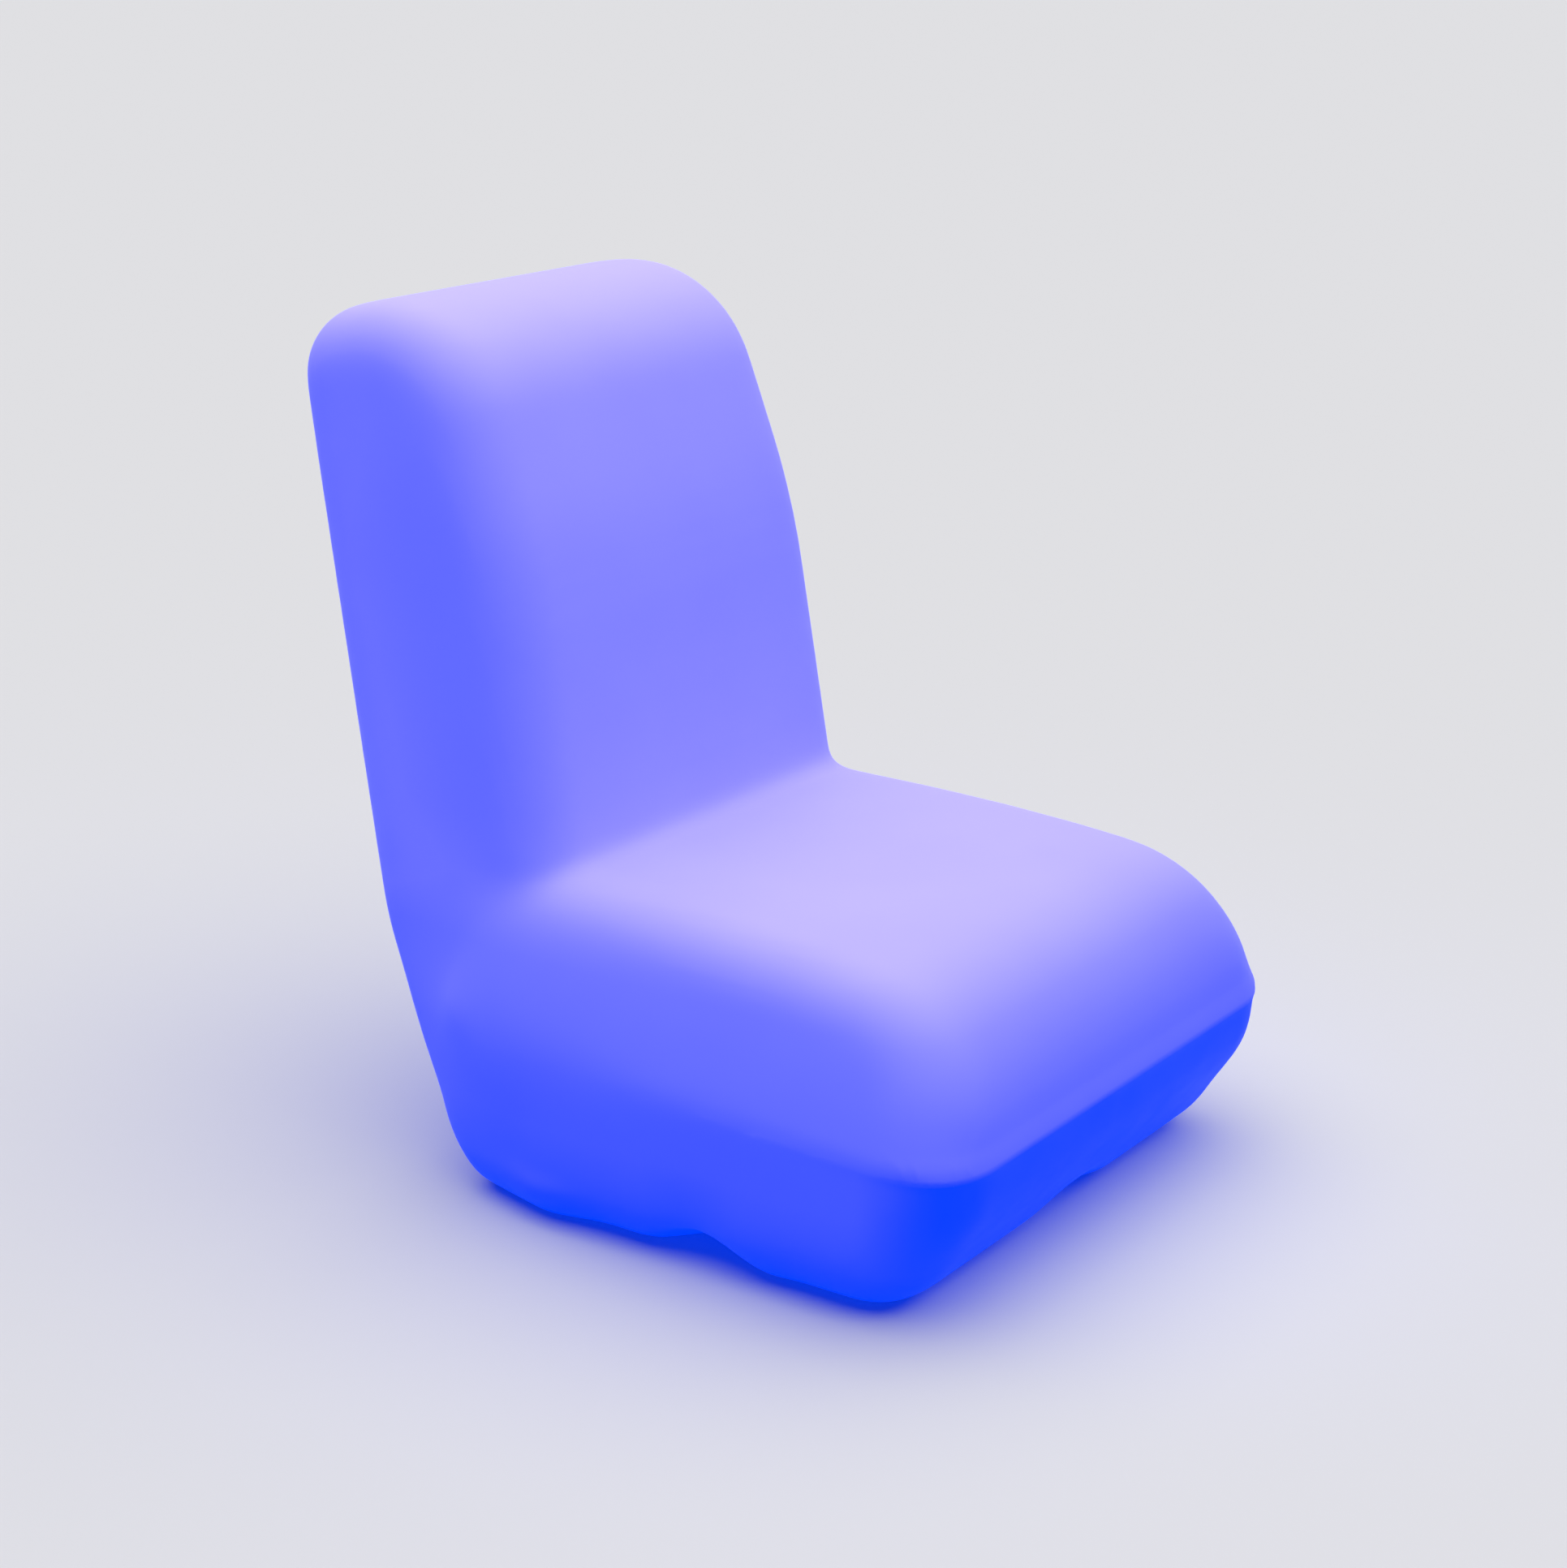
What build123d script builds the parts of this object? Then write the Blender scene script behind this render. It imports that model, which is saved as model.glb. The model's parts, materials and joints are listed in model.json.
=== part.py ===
from build123d import *
import math
import os

# A light-up lounge seat: one hollow moulded shell, lit from inside by a round
# light unit that twists into a collar under the base.
# Millimetres, +Z up, the sitter faces -Y, the origin is on the floor under the middle.

# Overall sizes
SEAT_WIDTH = 532.0  # across the ridge that runs round the seat
DEPTH = 670.0  # nose of the seat to the back of the backrest
HEIGHT = 700.0  # floor to the top of the backrest
SEAT_HEIGHT = 272.0  # floor to the top of the seat at the backrest
CUSHION_HEIGHT = 143.0  # ridge at the nose to the top of the seat
WALL = 5.0  # moulded wall
FOOT_PROUD = 1.5  # the foot pads stand this far below the shell
HEEL_LIFT = 5.0  # the backrest's heel stands this far above the underside of the feet

# Backrest and base, corners of the side outline before they are rounded
TOE_SETBACK = 58.0
TOE_R = 70.0
HEEL_SETBACK = 198.6
HEEL_R = 55.0
BEND_SETBACK = 83.9
BEND_DROP = 80.0  # the backrest bends this far below the seat top
BEND_R = 150.0
CROWN_REACH = 9.4
CROWN_DROP = 16.2
CROWN_R = 57.0
BROW_SETBACK = 166.3
BROW_RISE = 15.9
BROW_R = 115.0
CHEST_SETBACK = 240.2
CHEST_DROP = 198.6
CHEST_R = 600.0
LAP_SETBACK = 282.0
LAP_DEPTH = 62.0  # the body's hidden shelf lies this far below the seat top
LAP_R = 40.0
SHELF_SETBACK = 35.0
SHELF_R = 55.0
BODY_TOE_STEP = 6.0
SHIN_DROP = 37.0  # the front starts to run in this far below the ridge
SHIN_R = 80.0
BODY_EDGE_R = 50.0

# Backrest and base, half widths seen from the front
BASE_HALF = 254.0  # at the floor
WAIST_HALF = 217.0  # at the bend
CROWN_HALF = 194.0  # at the top of the backrest
WAIST_DROP = 67.0  # below the seat top
WAIST_R = 400.0

# Seat cushion form
NOSE_LEAN = 9.3  # degrees, front of the seat leans back
NOSE_RISE = 118.0  # front top corner above the ridge
NOSE_R = 122.0
SADDLE_SETBACK = 230.0  # where the top levels out, behind the nose
SADDLE_DROP = 5.0
SADDLE_R = 2500.0
SEAT_END = 520.0  # hidden rear end of the seat form, behind the nose
RIDGE_TILT = 2.5  # degrees, the ridge climbs to the rear
SEAT_SIDE_LEAN = 22.0
SEAT_EDGE_R = 62.0
SEAT_REAR_R = 90.0
RIDGE_R = 6.0
RIDGE_STEP = 3.0  # the foot form stands in from the ridge
VALLEY_R = 15.0  # round where the seat meets the backrest
SAME_PLACE = 0.001  # two points this near count as one

# Foot form
FOOT_TOP = 2.0  # reaches this far up into the seat form
FOOT_OVER = 40.0  # drawn this far above the ridge, then cut off at its top
FOOT_SIDE_LEAN = 1.0
FOOT_END = 460.0  # hidden rear end at the floor, behind the nose
FOOT_END_R = 115.0
FOOT_EDGE_R = 62.0
ARCH_TILT = 25.0  # the scooped arches rise outwards
SIDE_ARCH_R = 95.0
FRONT_ARCH_R = 130.0
ARCH_RUN = 88.0  # an arch meets the floor this far in from the shell's side

# Foot pads
PAD_R = 22.0
PAD_T = 4.0
PAD_FIT = 0.3
PAD_X = 165.0
PAD_Y = 120.0  # from the middle of the base
PAD_SCREW_R = 2.0
PAD_HEAD_R = 4.5
PAD_HEAD_T = 2.4
PAD_HEAD_SUNK = 1.0
PAD_SCREW_LENGTH = 18.0
PAD_BOSS_R = 8.0
SCREW_FIT = 0.05

# Vent plug, closes the hole the moulding breathed through
VENT_R = 6.0
VENT_HEAD_R = 9.0
VENT_HEAD_T = 2.4
VENT_STEM = 9.0
VENT_FIT = 0.1
VENT_X = 100.0
VENT_Y = 115.0  # behind the middle of the base

# Well under the base and the light unit that fills it
UNIT_R = 100.0
WELL_GAP = 3.0
COVER_Z = 3.5
COVER_T = 3.0
COVER_LIP_Z = 15.0
COVER_LIP_T = 3.0
COVER_LIP_WIDTH = 20.0
FLANGE_R = 88.0
FLANGE_T = 3.0
SEAL_T = 2.0
SEAL_IN_R = 78.0
SEAL_OUT_R = 85.0
COLLAR_R = 101.0
COLLAR_T = 6.0
COLLAR_SEAL_T = 1.5
COLLAR_LEDGE_T = 4.0
COLLAR_SPIGOT = 11.0
COLLAR_SPIGOT_T = 2.5
PORT_FIT = 0.5
COLLAR_SCREWS = 6
COLLAR_SCREW_CIRCLE_R = 94.0
COLLAR_SCREW_R = 2.0
COLLAR_HEAD_R = 3.8
COLLAR_HEAD_T = 2.2
COLLAR_SCREW_LENGTH = 16.0
INSERT_R = 3.6
INSERT_LENGTH = 11.0
INSERT_BOSS_R = 7.5
INSERT_BOSS_CAP = 3.0

# Twist lock
NECK_R = 72.0
NECK_T = 3.0
NECK_FIT = 0.5
LUGS = 3
LUG_REACH = 4.5
LUG_T = 4.0
LUG_ANGLE = 28.0
LUG_FIT = 0.4
SLOT_EXTRA = 4.0  # degrees, entry slots are wider than the lugs
TWIST = 45.0  # degrees from locked to free
STOP_ANGLE = 6.0
STOP_GAP = 1.0  # degrees

# Light board and dome
DECK_Z = 49.0
DECK_T = 3.0
BOARD_R = 58.0
BOARD_T = 1.6
INNER_LIGHTS = 8
INNER_LIGHTS_R = 22.0
OUTER_LIGHTS = 16
OUTER_LIGHTS_R = 46.0
LIGHT_SIZE = 5.0
LIGHT_T = 1.5
BOARD_SCREWS = 3
BOARD_SCREW_CIRCLE_R = 34.0
BOARD_SCREW_R = 1.5
BOARD_HEAD_R = 2.8
BOARD_HEAD_T = 1.8
BOARD_SCREW_LENGTH = 4.2
DOME_R = 70.0
DOME_T = 2.5
DOME_SKIRT = 8.0
DOME_RISE = 26.0

# Screws that join cover and chassis
JOIN_SCREWS = 4
JOIN_CIRCLE_R = 60.0
JOIN_POST_R = 5.0
JOIN_SPLIT_Z = 28.0
JOIN_SCREW_R = 1.5
JOIN_HEAD_R = 3.0
JOIN_HEAD_T = 2.0
JOIN_HEAD_SUNK = 0.6
JOIN_SCREW_LENGTH = 32.0

# Battery
CELL_R = 9.2
CELL_LENGTH = 65.0
CELL_TIP_R = 3.0
CELL_TIP = 1.0
CELL_GAP = 1.0
CELL_FIT = 0.3
BATTERY_Y = -18.0
TRAY_T = 2.0
TRAY_WALL = 2.0
TRAY_DEPTH = 8.0
STRAP_T = 1.2
STRAP_WIDTH = 9.0
STRAP_X = 20.0

# Control board
CONTROL_X = 64.0
CONTROL_Y = 36.0
CONTROL_T = 1.6
CONTROL_AT = 46.0
CONTROL_Z = 15.0
CONTROL_POST_R = 3.0
CONTROL_POST_INSET = 4.5
CHIP_SIZES = ((14.0, 10.0, 2.2), (8.0, 6.0, 1.6), (10.0, 8.0, 5.0))
CHIP_PLACES = ((-6.0, 4.0), (14.0, 8.0), (18.0, -6.0))

# Power button
BUTTON_X = -18.0
BUTTON_R = 7.0
BUTTON_FIT = 0.3
BUTTON_PROUD = 1.5
BUTTON_FLANGE_R = 9.0
BUTTON_FLANGE_T = 1.5
BUTTON_TRAVEL = 1.2
PLUNGER_R = 2.2
SWITCH_SIZE = 6.4
SWITCH_T = 3.6
STEM_R = 1.7
STEM_FIT = 0.1
STEM_REACH = 1.0
PLUNGER_GAP = 1.5

# Charging socket with its hinged door
SOCKET_X = 16.0
SOCKET_WIDE = 9.2
SOCKET_DEEP = 3.4
SOCKET_WALL = 0.4
TONGUE_WIDE = 6.6
TONGUE_T = 0.7
SOCKET_FIT = 0.4
DOOR_X = 20.0
DOOR_Y = 13.0
DOOR_T = 1.8
DOOR_FIT = 0.4
DOOR_POCKET = 2.5
DOOR_BOSS = 2.0
DOOR_BOSS_MARGIN = 3.0
KNUCKLE_R = 1.2
PIN_R = 0.7
PIN_FIT = 0.06
PIN_HOLD = 2.0
DOOR_TAB = 3.0
DOOR_SEAL_T = 1.2
DOOR_SEAL_FIT = 0.5

# Charge light
PIPE_X = -5.0
PIPE_R = 2.0
PIPE_FIT = 0.1
PIPE_FLANGE_R = 3.2
PIPE_FLANGE_T = 1.0
CHARGE_LIGHT = (3.0, 1.6, 0.9)
CHARGE_LIGHT_GAP = 0.3

# Leads
LEAD_R = 1.0
LEAD_SPACING = 3.0
LEAD_HOLE_FIT = 0.6
LEAD_SEAT = 0.3  # a lead ends this far from what it is soldered to

# Coin slot that turns the unit
COIN_SLOT = (44.0, 3.4, 2.0)

# Places worked out from the sizes above
NOSE_Y = -DEPTH / 2
REAR_Y = DEPTH / 2
RIDGE_HALF = SEAT_WIDTH / 2
RIDGE_HEIGHT = SEAT_HEIGHT - CUSHION_HEIGHT
SHIN_HEIGHT = RIDGE_HEIGHT - SHIN_DROP
BEND_HEIGHT = SEAT_HEIGHT - BEND_DROP
WAIST_HEIGHT = SEAT_HEIGHT - WAIST_DROP
TOE_Y = NOSE_Y + TOE_SETBACK
HEEL_Y = REAR_Y - HEEL_SETBACK
UNIT_Y = (TOE_Y + HEEL_Y) / 2
FLOOR_Z = COVER_Z + COVER_T
FLANGE_Z = COVER_LIP_Z + COVER_LIP_T
SEAL_Z = FLANGE_Z + FLANGE_T
COLLAR_Z = SEAL_Z + SEAL_T
COLLAR_TOP = COLLAR_Z + COLLAR_T
WELL_TOP = COLLAR_TOP + COLLAR_SEAL_T
WELL_R = UNIT_R + WELL_GAP
LEDGE_TOP = COLLAR_Z + COLLAR_LEDGE_T
LUG_Z = LEDGE_TOP + LUG_FIT
BORE_R = NECK_R + NECK_FIT
LUG_R = NECK_R + LUG_REACH
RACE_R = LUG_R + NECK_FIT
SPIGOT_R = RACE_R + COLLAR_SPIGOT_T
PORT_R = SPIGOT_R + PORT_FIT
DECK_TOP = DECK_Z + DECK_T
BOARD_TOP = DECK_TOP + BOARD_T
CONTROL_TOP = CONTROL_Z + CONTROL_T
DOOR_AXIS_Y = CONTROL_AT + SOCKET_DEEP / 2 + DOOR_Y / 2
DOOR_AXIS_Z = COVER_Z + DOOR_T / 2


# Small shapes


def rod(radius, low, high, x=0.0, y=0.0):
    """An upright cylinder between two heights."""
    return Pos(x, y, low) * Cylinder(radius, high - low, align=(Align.CENTER, Align.CENTER, Align.MIN))


def ring(inner, outer, low, high):
    """An upright tube between two heights."""
    return rod(outer, low, high) - rod(inner, low, high)


def bar(size_x, size_y, low, high, x=0.0, y=0.0):
    """An upright box between two heights."""
    return Pos(x, y, low) * Box(size_x, size_y, high - low, align=(Align.CENTER, Align.CENTER, Align.MIN))


def around(count, radius, start=0.0):
    """Places evenly spaced on a circle."""
    angles = [math.radians(start + 360.0 * i / count) for i in range(count)]
    return [(radius * math.cos(a), radius * math.sin(a)) for a in angles]


def sector(inner, outer, low, high, start, sweep):
    """Part of an upright tube, between two angles in degrees."""
    reach = 2 * outer
    steps = 8
    fan = [(0.0, 0.0)]
    for i in range(steps + 1):
        angle = math.radians(start + sweep * i / steps)
        fan.append((reach * math.cos(angle), reach * math.sin(angle)))
    wedge = extrude(make_face(Polyline(*fan, close=True)), amount=high - low)
    return ring(inner, outer, low, high) & Pos(0, 0, low) * wedge


def in_unit(shape):
    """Moves a shape of the light unit from its own axis to its place under the base."""
    return Pos(0, UNIT_Y, 0) * shape


# Shell


def outline(corners):
    """A closed outline of straight runs with rounded corners."""
    points = [(a, b) for a, b, radius in corners]
    return make_face(FilletPolyline(*points, radius=[radius for a, b, radius in corners], close=True))


def form(side, half_front, inset):
    """What a side outline and a front outline have in common, each drawn in by the inset."""
    mirrored = half_front + [(-x, z, radius) for x, z, radius in reversed(half_front)]
    side_face = outline(side)
    front_face = outline(mirrored)
    if inset:
        side_face = offset(side_face, amount=-inset, kind=Kind.INTERSECTION)
        front_face = offset(front_face, amount=-inset, kind=Kind.INTERSECTION)
    across = extrude(Plane.YZ * side_face, amount=SEAT_WIDTH, both=True)
    along = extrude(Plane.XZ * front_face, amount=DEPTH, both=True)
    return (across & along).solid()


def side_edges(solid):
    """Edges where a side face meets the faces that run across the width."""
    chosen = []
    faces = solid.faces()
    for edge in solid.edges():
        middle = edge.position_at(0.5)
        beside = [f for f in faces if any(edge.is_same(other) for other in f.edges())]
        turned = sorted(abs(f.normal_at(middle).X) for f in beside)
        if len(turned) == 2 and turned[0] < 0.02 and turned[1] > 0.6:
            chosen.append(edge)
    return chosen


def lengthwise_edges(solid, low, high):
    """Long edges that run front to back between two heights, clear of the middle."""
    return [
        e
        for e in solid.edges()
        if low < e.center().Z < high and abs(e.center().X) > CROWN_HALF / 2 and abs(e.tangent_at(0.5).Y) > 0.9
    ]


def rear_corner_edges(solid):
    """Upright edges at the hidden rear end of a form."""
    return [
        e
        for e in solid.edges()
        if e.center().Y > UNIT_Y and abs(e.center().X) > CROWN_HALF / 2 and abs(e.tangent_at(0.5).Z) > 0.5
    ]


def body_form(inset=0.0):
    """Backrest and base in one bent form, wide at the floor and narrow at the top."""
    side = [
        (TOE_Y + BODY_TOE_STEP, FOOT_PROUD + HEEL_LIFT, TOE_R),
        (HEEL_Y, FOOT_PROUD + HEEL_LIFT, HEEL_R),
        (REAR_Y - BEND_SETBACK, BEND_HEIGHT, BEND_R),
        (REAR_Y + CROWN_REACH, HEIGHT - CROWN_DROP, CROWN_R),
        (REAR_Y - BROW_SETBACK, HEIGHT + BROW_RISE, BROW_R),
        (REAR_Y - CHEST_SETBACK, HEIGHT - CHEST_DROP, CHEST_R),
        (REAR_Y - LAP_SETBACK, SEAT_HEIGHT - LAP_DEPTH, LAP_R),
        (NOSE_Y + SHELF_SETBACK, SEAT_HEIGHT - LAP_DEPTH, SHELF_R),
        (NOSE_Y + BODY_TOE_STEP + RIDGE_STEP, SHIN_HEIGHT, SHIN_R),
    ]
    above = HEIGHT + 2 * BROW_RISE
    half_front = [(BASE_HALF, 0.0, 0), (WAIST_HALF, WAIST_HEIGHT, WAIST_R), (CROWN_HALF, above, 0)]
    solid = form(side, half_front, inset)
    return fillet(side_edges(solid), BODY_EDGE_R - inset).solid()


def ridge_loss(lean):
    """How far the rounded ridge falls short of its sharp corner, under a face of that lean."""
    return RIDGE_R / math.tan(math.radians(45 - lean / 2)) - RIDGE_R


def ridge_height(y):
    """Height of the ridge's plane at a place along the depth."""
    return RIDGE_HEIGHT + (y - NOSE_Y) * math.tan(math.radians(RIDGE_TILT))


def seat_form(inset=0.0):
    """Cushion-like seat above the ridge, with leaning sides and full rounded edges."""
    end_y = NOSE_Y + SEAT_END
    lean = math.tan(math.radians(SEAT_SIDE_LEAN))
    nose_top = RIDGE_HEIGHT + NOSE_RISE
    nose_y = NOSE_Y - ridge_loss(NOSE_LEAN)
    half = RIDGE_HALF + ridge_loss(SEAT_SIDE_LEAN)
    side = [
        (nose_y, RIDGE_HEIGHT, 0),
        (nose_y + NOSE_RISE * math.tan(math.radians(NOSE_LEAN)), nose_top, NOSE_R),
        (NOSE_Y + SADDLE_SETBACK, SEAT_HEIGHT - SADDLE_DROP, SADDLE_R),
        (end_y, SEAT_HEIGHT, 0),
        (end_y, ridge_height(end_y), 0),
    ]
    over = SEAT_HEIGHT + SEAT_EDGE_R
    half_front = [(half + RIDGE_HEIGHT * lean, 0.0, 0), (half - (over - RIDGE_HEIGHT) * lean, over, 0)]
    solid = form(side, half_front, inset)
    solid = fillet(rear_corner_edges(solid), SEAT_REAR_R - inset).solid()
    top_edges = lengthwise_edges(solid, nose_top - inset - SADDLE_DROP, over)
    solid = fillet(top_edges, SEAT_EDGE_R - inset).solid()
    if inset:
        return solid
    underside = solid.faces().sort_by(Axis.Z)[0]
    return fillet(underside.edges(), RIDGE_R).solid()


def foot_form(inset=0.0):
    """Lower part of the base, just inside the ridge, with full rounded lower edges."""
    end_y = NOSE_Y + FOOT_END
    rear_top = NOSE_Y + SEAT_END - RIDGE_STEP
    lean = math.tan(math.radians(FOOT_SIDE_LEAN))
    half = RIDGE_HALF - RIDGE_STEP
    rear_slope = (rear_top - end_y) / (ridge_height(rear_top) - FOOT_PROUD)
    side = [
        (TOE_Y, FOOT_PROUD, TOE_R),
        (end_y, FOOT_PROUD, 0),
        (end_y + (RIDGE_HEIGHT + FOOT_OVER - FOOT_PROUD) * rear_slope, RIDGE_HEIGHT + FOOT_OVER, 0),
        (NOSE_Y + RIDGE_STEP, RIDGE_HEIGHT + FOOT_OVER, 0),
        (NOSE_Y + RIDGE_STEP, SHIN_HEIGHT, SHIN_R),
    ]
    half_front = [(half - RIDGE_HEIGHT * lean, 0.0, 0), (half + RIDGE_HEIGHT * lean, 2 * RIDGE_HEIGHT, 0)]
    solid = form(side, half_front, inset)
    solid = fillet(rear_corner_edges(solid), FOOT_END_R - inset).solid()
    low_edges = lengthwise_edges(solid, 0.0, 2 * FOOT_PROUD + inset)
    solid = fillet(low_edges, FOOT_EDGE_R - inset).solid()
    top = Plane(origin=(0, NOSE_Y, RIDGE_HEIGHT + FOOT_TOP + 2 * inset)).rotated((RIDGE_TILT, 0, 0))
    return split(solid, bisect_by=top, keep=Keep.BOTTOM).solid()


def valley_edges(joined, one, other):
    """Edges above the ridge that lie on two forms at once."""
    chosen = []
    for edge in joined.edges():
        middle = edge.position_at(0.5)
        apart = max(form.distance_to(Vertex(*middle)) for form in (one, other))
        if apart < SAME_PLACE and middle.Z > ridge_height(middle.Y) + RIDGE_R:
            chosen.append(edge)
    return chosen


def outer_form():
    """The whole outside of the seat, before the arches and the well."""
    body = body_form()
    seat = seat_form()
    joined = (body + seat).solid()
    return joined.fillet(VALLEY_R, valley_edges(joined, body, seat)).solid() + foot_form()


def arches(grow=0.0):
    """Scoops under the four sides that leave a foot at each corner."""
    reach = 2 * ARCH_RUN
    scoops = []
    half_y = (HEEL_Y - TOE_Y) / 2
    for turn, radius, side in (
        (0, SIDE_ARCH_R, RIDGE_HALF - RIDGE_STEP),
        (180, SIDE_ARCH_R, RIDGE_HALF - RIDGE_STEP),
        (-90, FRONT_ARCH_R, half_y + TOE_SETBACK / 2),
        (90, FRONT_ARCH_R, half_y),
    ):
        scoop = Cylinder(radius + grow, 2 * reach, rotation=(0, 90, 0))
        scoop = Rot(0, -ARCH_TILT, 0) * Pos(0, 0, -radius) * scoop
        scoops.append(Pos(0, UNIT_Y, FOOT_PROUD) * Rot(0, 0, turn) * Pos(side - ARCH_RUN, 0, 0) * scoop)
    return scoops


def pad_places():
    """Middles of the four foot pads."""
    return [(x, UNIT_Y + y) for x in (-PAD_X, PAD_X) for y in (-PAD_Y, PAD_Y)]


def make_shell():
    """The moulded shell: one even wall, with a well and port for the light unit."""
    hollow = body_form(WALL) + seat_form(WALL) + foot_form(WALL)
    outside = outer_form()
    for scoop, grown in zip(arches(), arches(WALL)):
        outside -= scoop
        hollow -= grown
    hollow -= in_unit(rod(WELL_R + WALL, 0, WELL_TOP + WALL))
    for x, y in pad_places():
        hollow -= rod(PAD_BOSS_R, 0, PAD_T + PAD_SCREW_LENGTH, x, y)
        hollow -= rod(PAD_R + PAD_FIT + WALL, 0, PAD_T + WALL, x, y)
    vent_seat = FOOT_PROUD + VENT_HEAD_T + VENT_FIT
    vent_y = UNIT_Y + VENT_Y
    hollow -= rod(VENT_HEAD_R + WALL, 0, vent_seat + WALL, VENT_X, vent_y)
    insert_top = WELL_TOP + INSERT_LENGTH
    for x, y in around(COLLAR_SCREWS, COLLAR_SCREW_CIRCLE_R):
        hollow -= in_unit(rod(INSERT_BOSS_R, WELL_TOP, insert_top + INSERT_BOSS_CAP, x, y))
    shell = outside - hollow
    shell -= in_unit(rod(WELL_R, 0, WELL_TOP))
    shell -= in_unit(rod(PORT_R, 0, WELL_TOP + 2 * WALL))
    for x, y in around(COLLAR_SCREWS, COLLAR_SCREW_CIRCLE_R):
        shell -= in_unit(rod(INSERT_R, WELL_TOP, insert_top, x, y))
    for x, y in pad_places():
        shell -= rod(PAD_R + PAD_FIT, 0, PAD_T, x, y)
        shell -= rod(PAD_SCREW_R + SCREW_FIT, 0, PAD_HEAD_SUNK + PAD_SCREW_LENGTH, x, y)
    shell -= rod(VENT_HEAD_R + VENT_FIT, 0, vent_seat, VENT_X, vent_y)
    shell -= rod(VENT_R + VENT_FIT, 0, vent_seat + 2 * WALL, VENT_X, vent_y)
    return shell


def make_foot_pads():
    """Four rubber pads, sunk in the shell and held by one screw each."""
    pads = []
    for x, y in pad_places():
        pad = rod(PAD_R, 0, PAD_T, x, y)
        pad -= rod(PAD_HEAD_R + PAD_FIT, 0, PAD_HEAD_SUNK + PAD_HEAD_T, x, y)
        pad -= rod(PAD_SCREW_R + PAD_FIT, 0, PAD_T, x, y)
        pads.append(pad)
    return pads


def screw(radius, head_radius, head_low, head_high, tip):
    """A pan head screw on the Z axis, with its head at the bottom."""
    slot = bar(2 * head_radius, head_radius / 4, head_low, head_low + (head_high - head_low) / 2)
    return rod(head_radius, head_low, head_high) - slot + rod(radius, head_high, tip)


def make_foot_screws():
    """One screw through each pad into a boss of the shell."""
    one = screw(PAD_SCREW_R, PAD_HEAD_R, PAD_HEAD_SUNK, PAD_HEAD_SUNK + PAD_HEAD_T, PAD_SCREW_LENGTH)
    return [Pos(x, y, 0) * one for x, y in pad_places()]


def make_vent_plug():
    """Push-in plug with a flat head and a hollow stem."""
    head_top = FOOT_PROUD + VENT_HEAD_T
    tip = head_top + VENT_STEM
    plug = rod(VENT_HEAD_R, FOOT_PROUD, head_top) + rod(VENT_R, head_top, tip)
    plug -= rod(VENT_R / 2, head_top, tip)
    return Pos(VENT_X, UNIT_Y + VENT_Y, 0) * plug


# Collar that the light unit twists into


def make_lock_collar():
    """Ring under the well's ceiling: a ledge with three entry slots, a race above it and three stops."""
    collar = ring(BORE_R, COLLAR_R, COLLAR_Z, COLLAR_TOP)
    collar += ring(BORE_R, SPIGOT_R, COLLAR_TOP, COLLAR_TOP + COLLAR_SPIGOT)
    collar -= rod(RACE_R, LEDGE_TOP, COLLAR_TOP + COLLAR_SPIGOT)
    pitch = 360.0 / LUGS
    slot_sweep = LUG_ANGLE + SLOT_EXTRA
    for i in range(LUGS):
        middle = i * pitch
        slot_start = middle + TWIST - slot_sweep / 2
        collar -= sector(BORE_R - NECK_FIT, RACE_R, COLLAR_Z, LEDGE_TOP, slot_start, slot_sweep)
        stop_start = middle - LUG_ANGLE / 2 - STOP_GAP - STOP_ANGLE
        stop_top = LUG_Z + LUG_T
        collar += sector(BORE_R, RACE_R + COLLAR_SPIGOT_T / 2, LEDGE_TOP, stop_top, stop_start, STOP_ANGLE)
    for x, y in around(COLLAR_SCREWS, COLLAR_SCREW_CIRCLE_R):
        collar -= rod(COLLAR_SCREW_R + SCREW_FIT, COLLAR_Z, COLLAR_TOP, x, y)
    return in_unit(collar)


def make_collar_seal():
    """Flat gasket between the collar and the shell."""
    seal = ring(PORT_R, COLLAR_R, COLLAR_TOP, WELL_TOP)
    for x, y in around(COLLAR_SCREWS, COLLAR_SCREW_CIRCLE_R):
        seal -= rod(COLLAR_SCREW_R + SCREW_FIT, COLLAR_TOP, WELL_TOP, x, y)
    return in_unit(seal)


def make_collar_inserts():
    """Brass inserts moulded into the shell."""
    insert = rod(INSERT_R, WELL_TOP, WELL_TOP + INSERT_LENGTH)
    insert -= rod(COLLAR_SCREW_R + SCREW_FIT, WELL_TOP, WELL_TOP + INSERT_LENGTH)
    places = around(COLLAR_SCREWS, COLLAR_SCREW_CIRCLE_R)
    return [in_unit(Pos(x, y, 0) * insert) for x, y in places]


def make_collar_screws():
    """Screws that hold the collar and its gasket to the shell."""
    tip = COLLAR_Z + COLLAR_SCREW_LENGTH
    one = screw(COLLAR_SCREW_R, COLLAR_HEAD_R, COLLAR_Z - COLLAR_HEAD_T, COLLAR_Z, tip)
    places = around(COLLAR_SCREWS, COLLAR_SCREW_CIRCLE_R)
    return [in_unit(Pos(x, y, 0) * one) for x, y in places]


# Light unit


def join_places():
    """Where screws join the unit's cover to its chassis."""
    return around(JOIN_SCREWS, JOIN_CIRCLE_R, 45.0)


def control_post_places():
    """Middles of the posts under the control board."""
    reach_x = CONTROL_X / 2 - CONTROL_POST_INSET
    reach_y = CONTROL_Y / 2 - CONTROL_POST_INSET
    return [(x, CONTROL_AT + y) for x in (-reach_x, reach_x) for y in (-reach_y, reach_y)]


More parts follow.
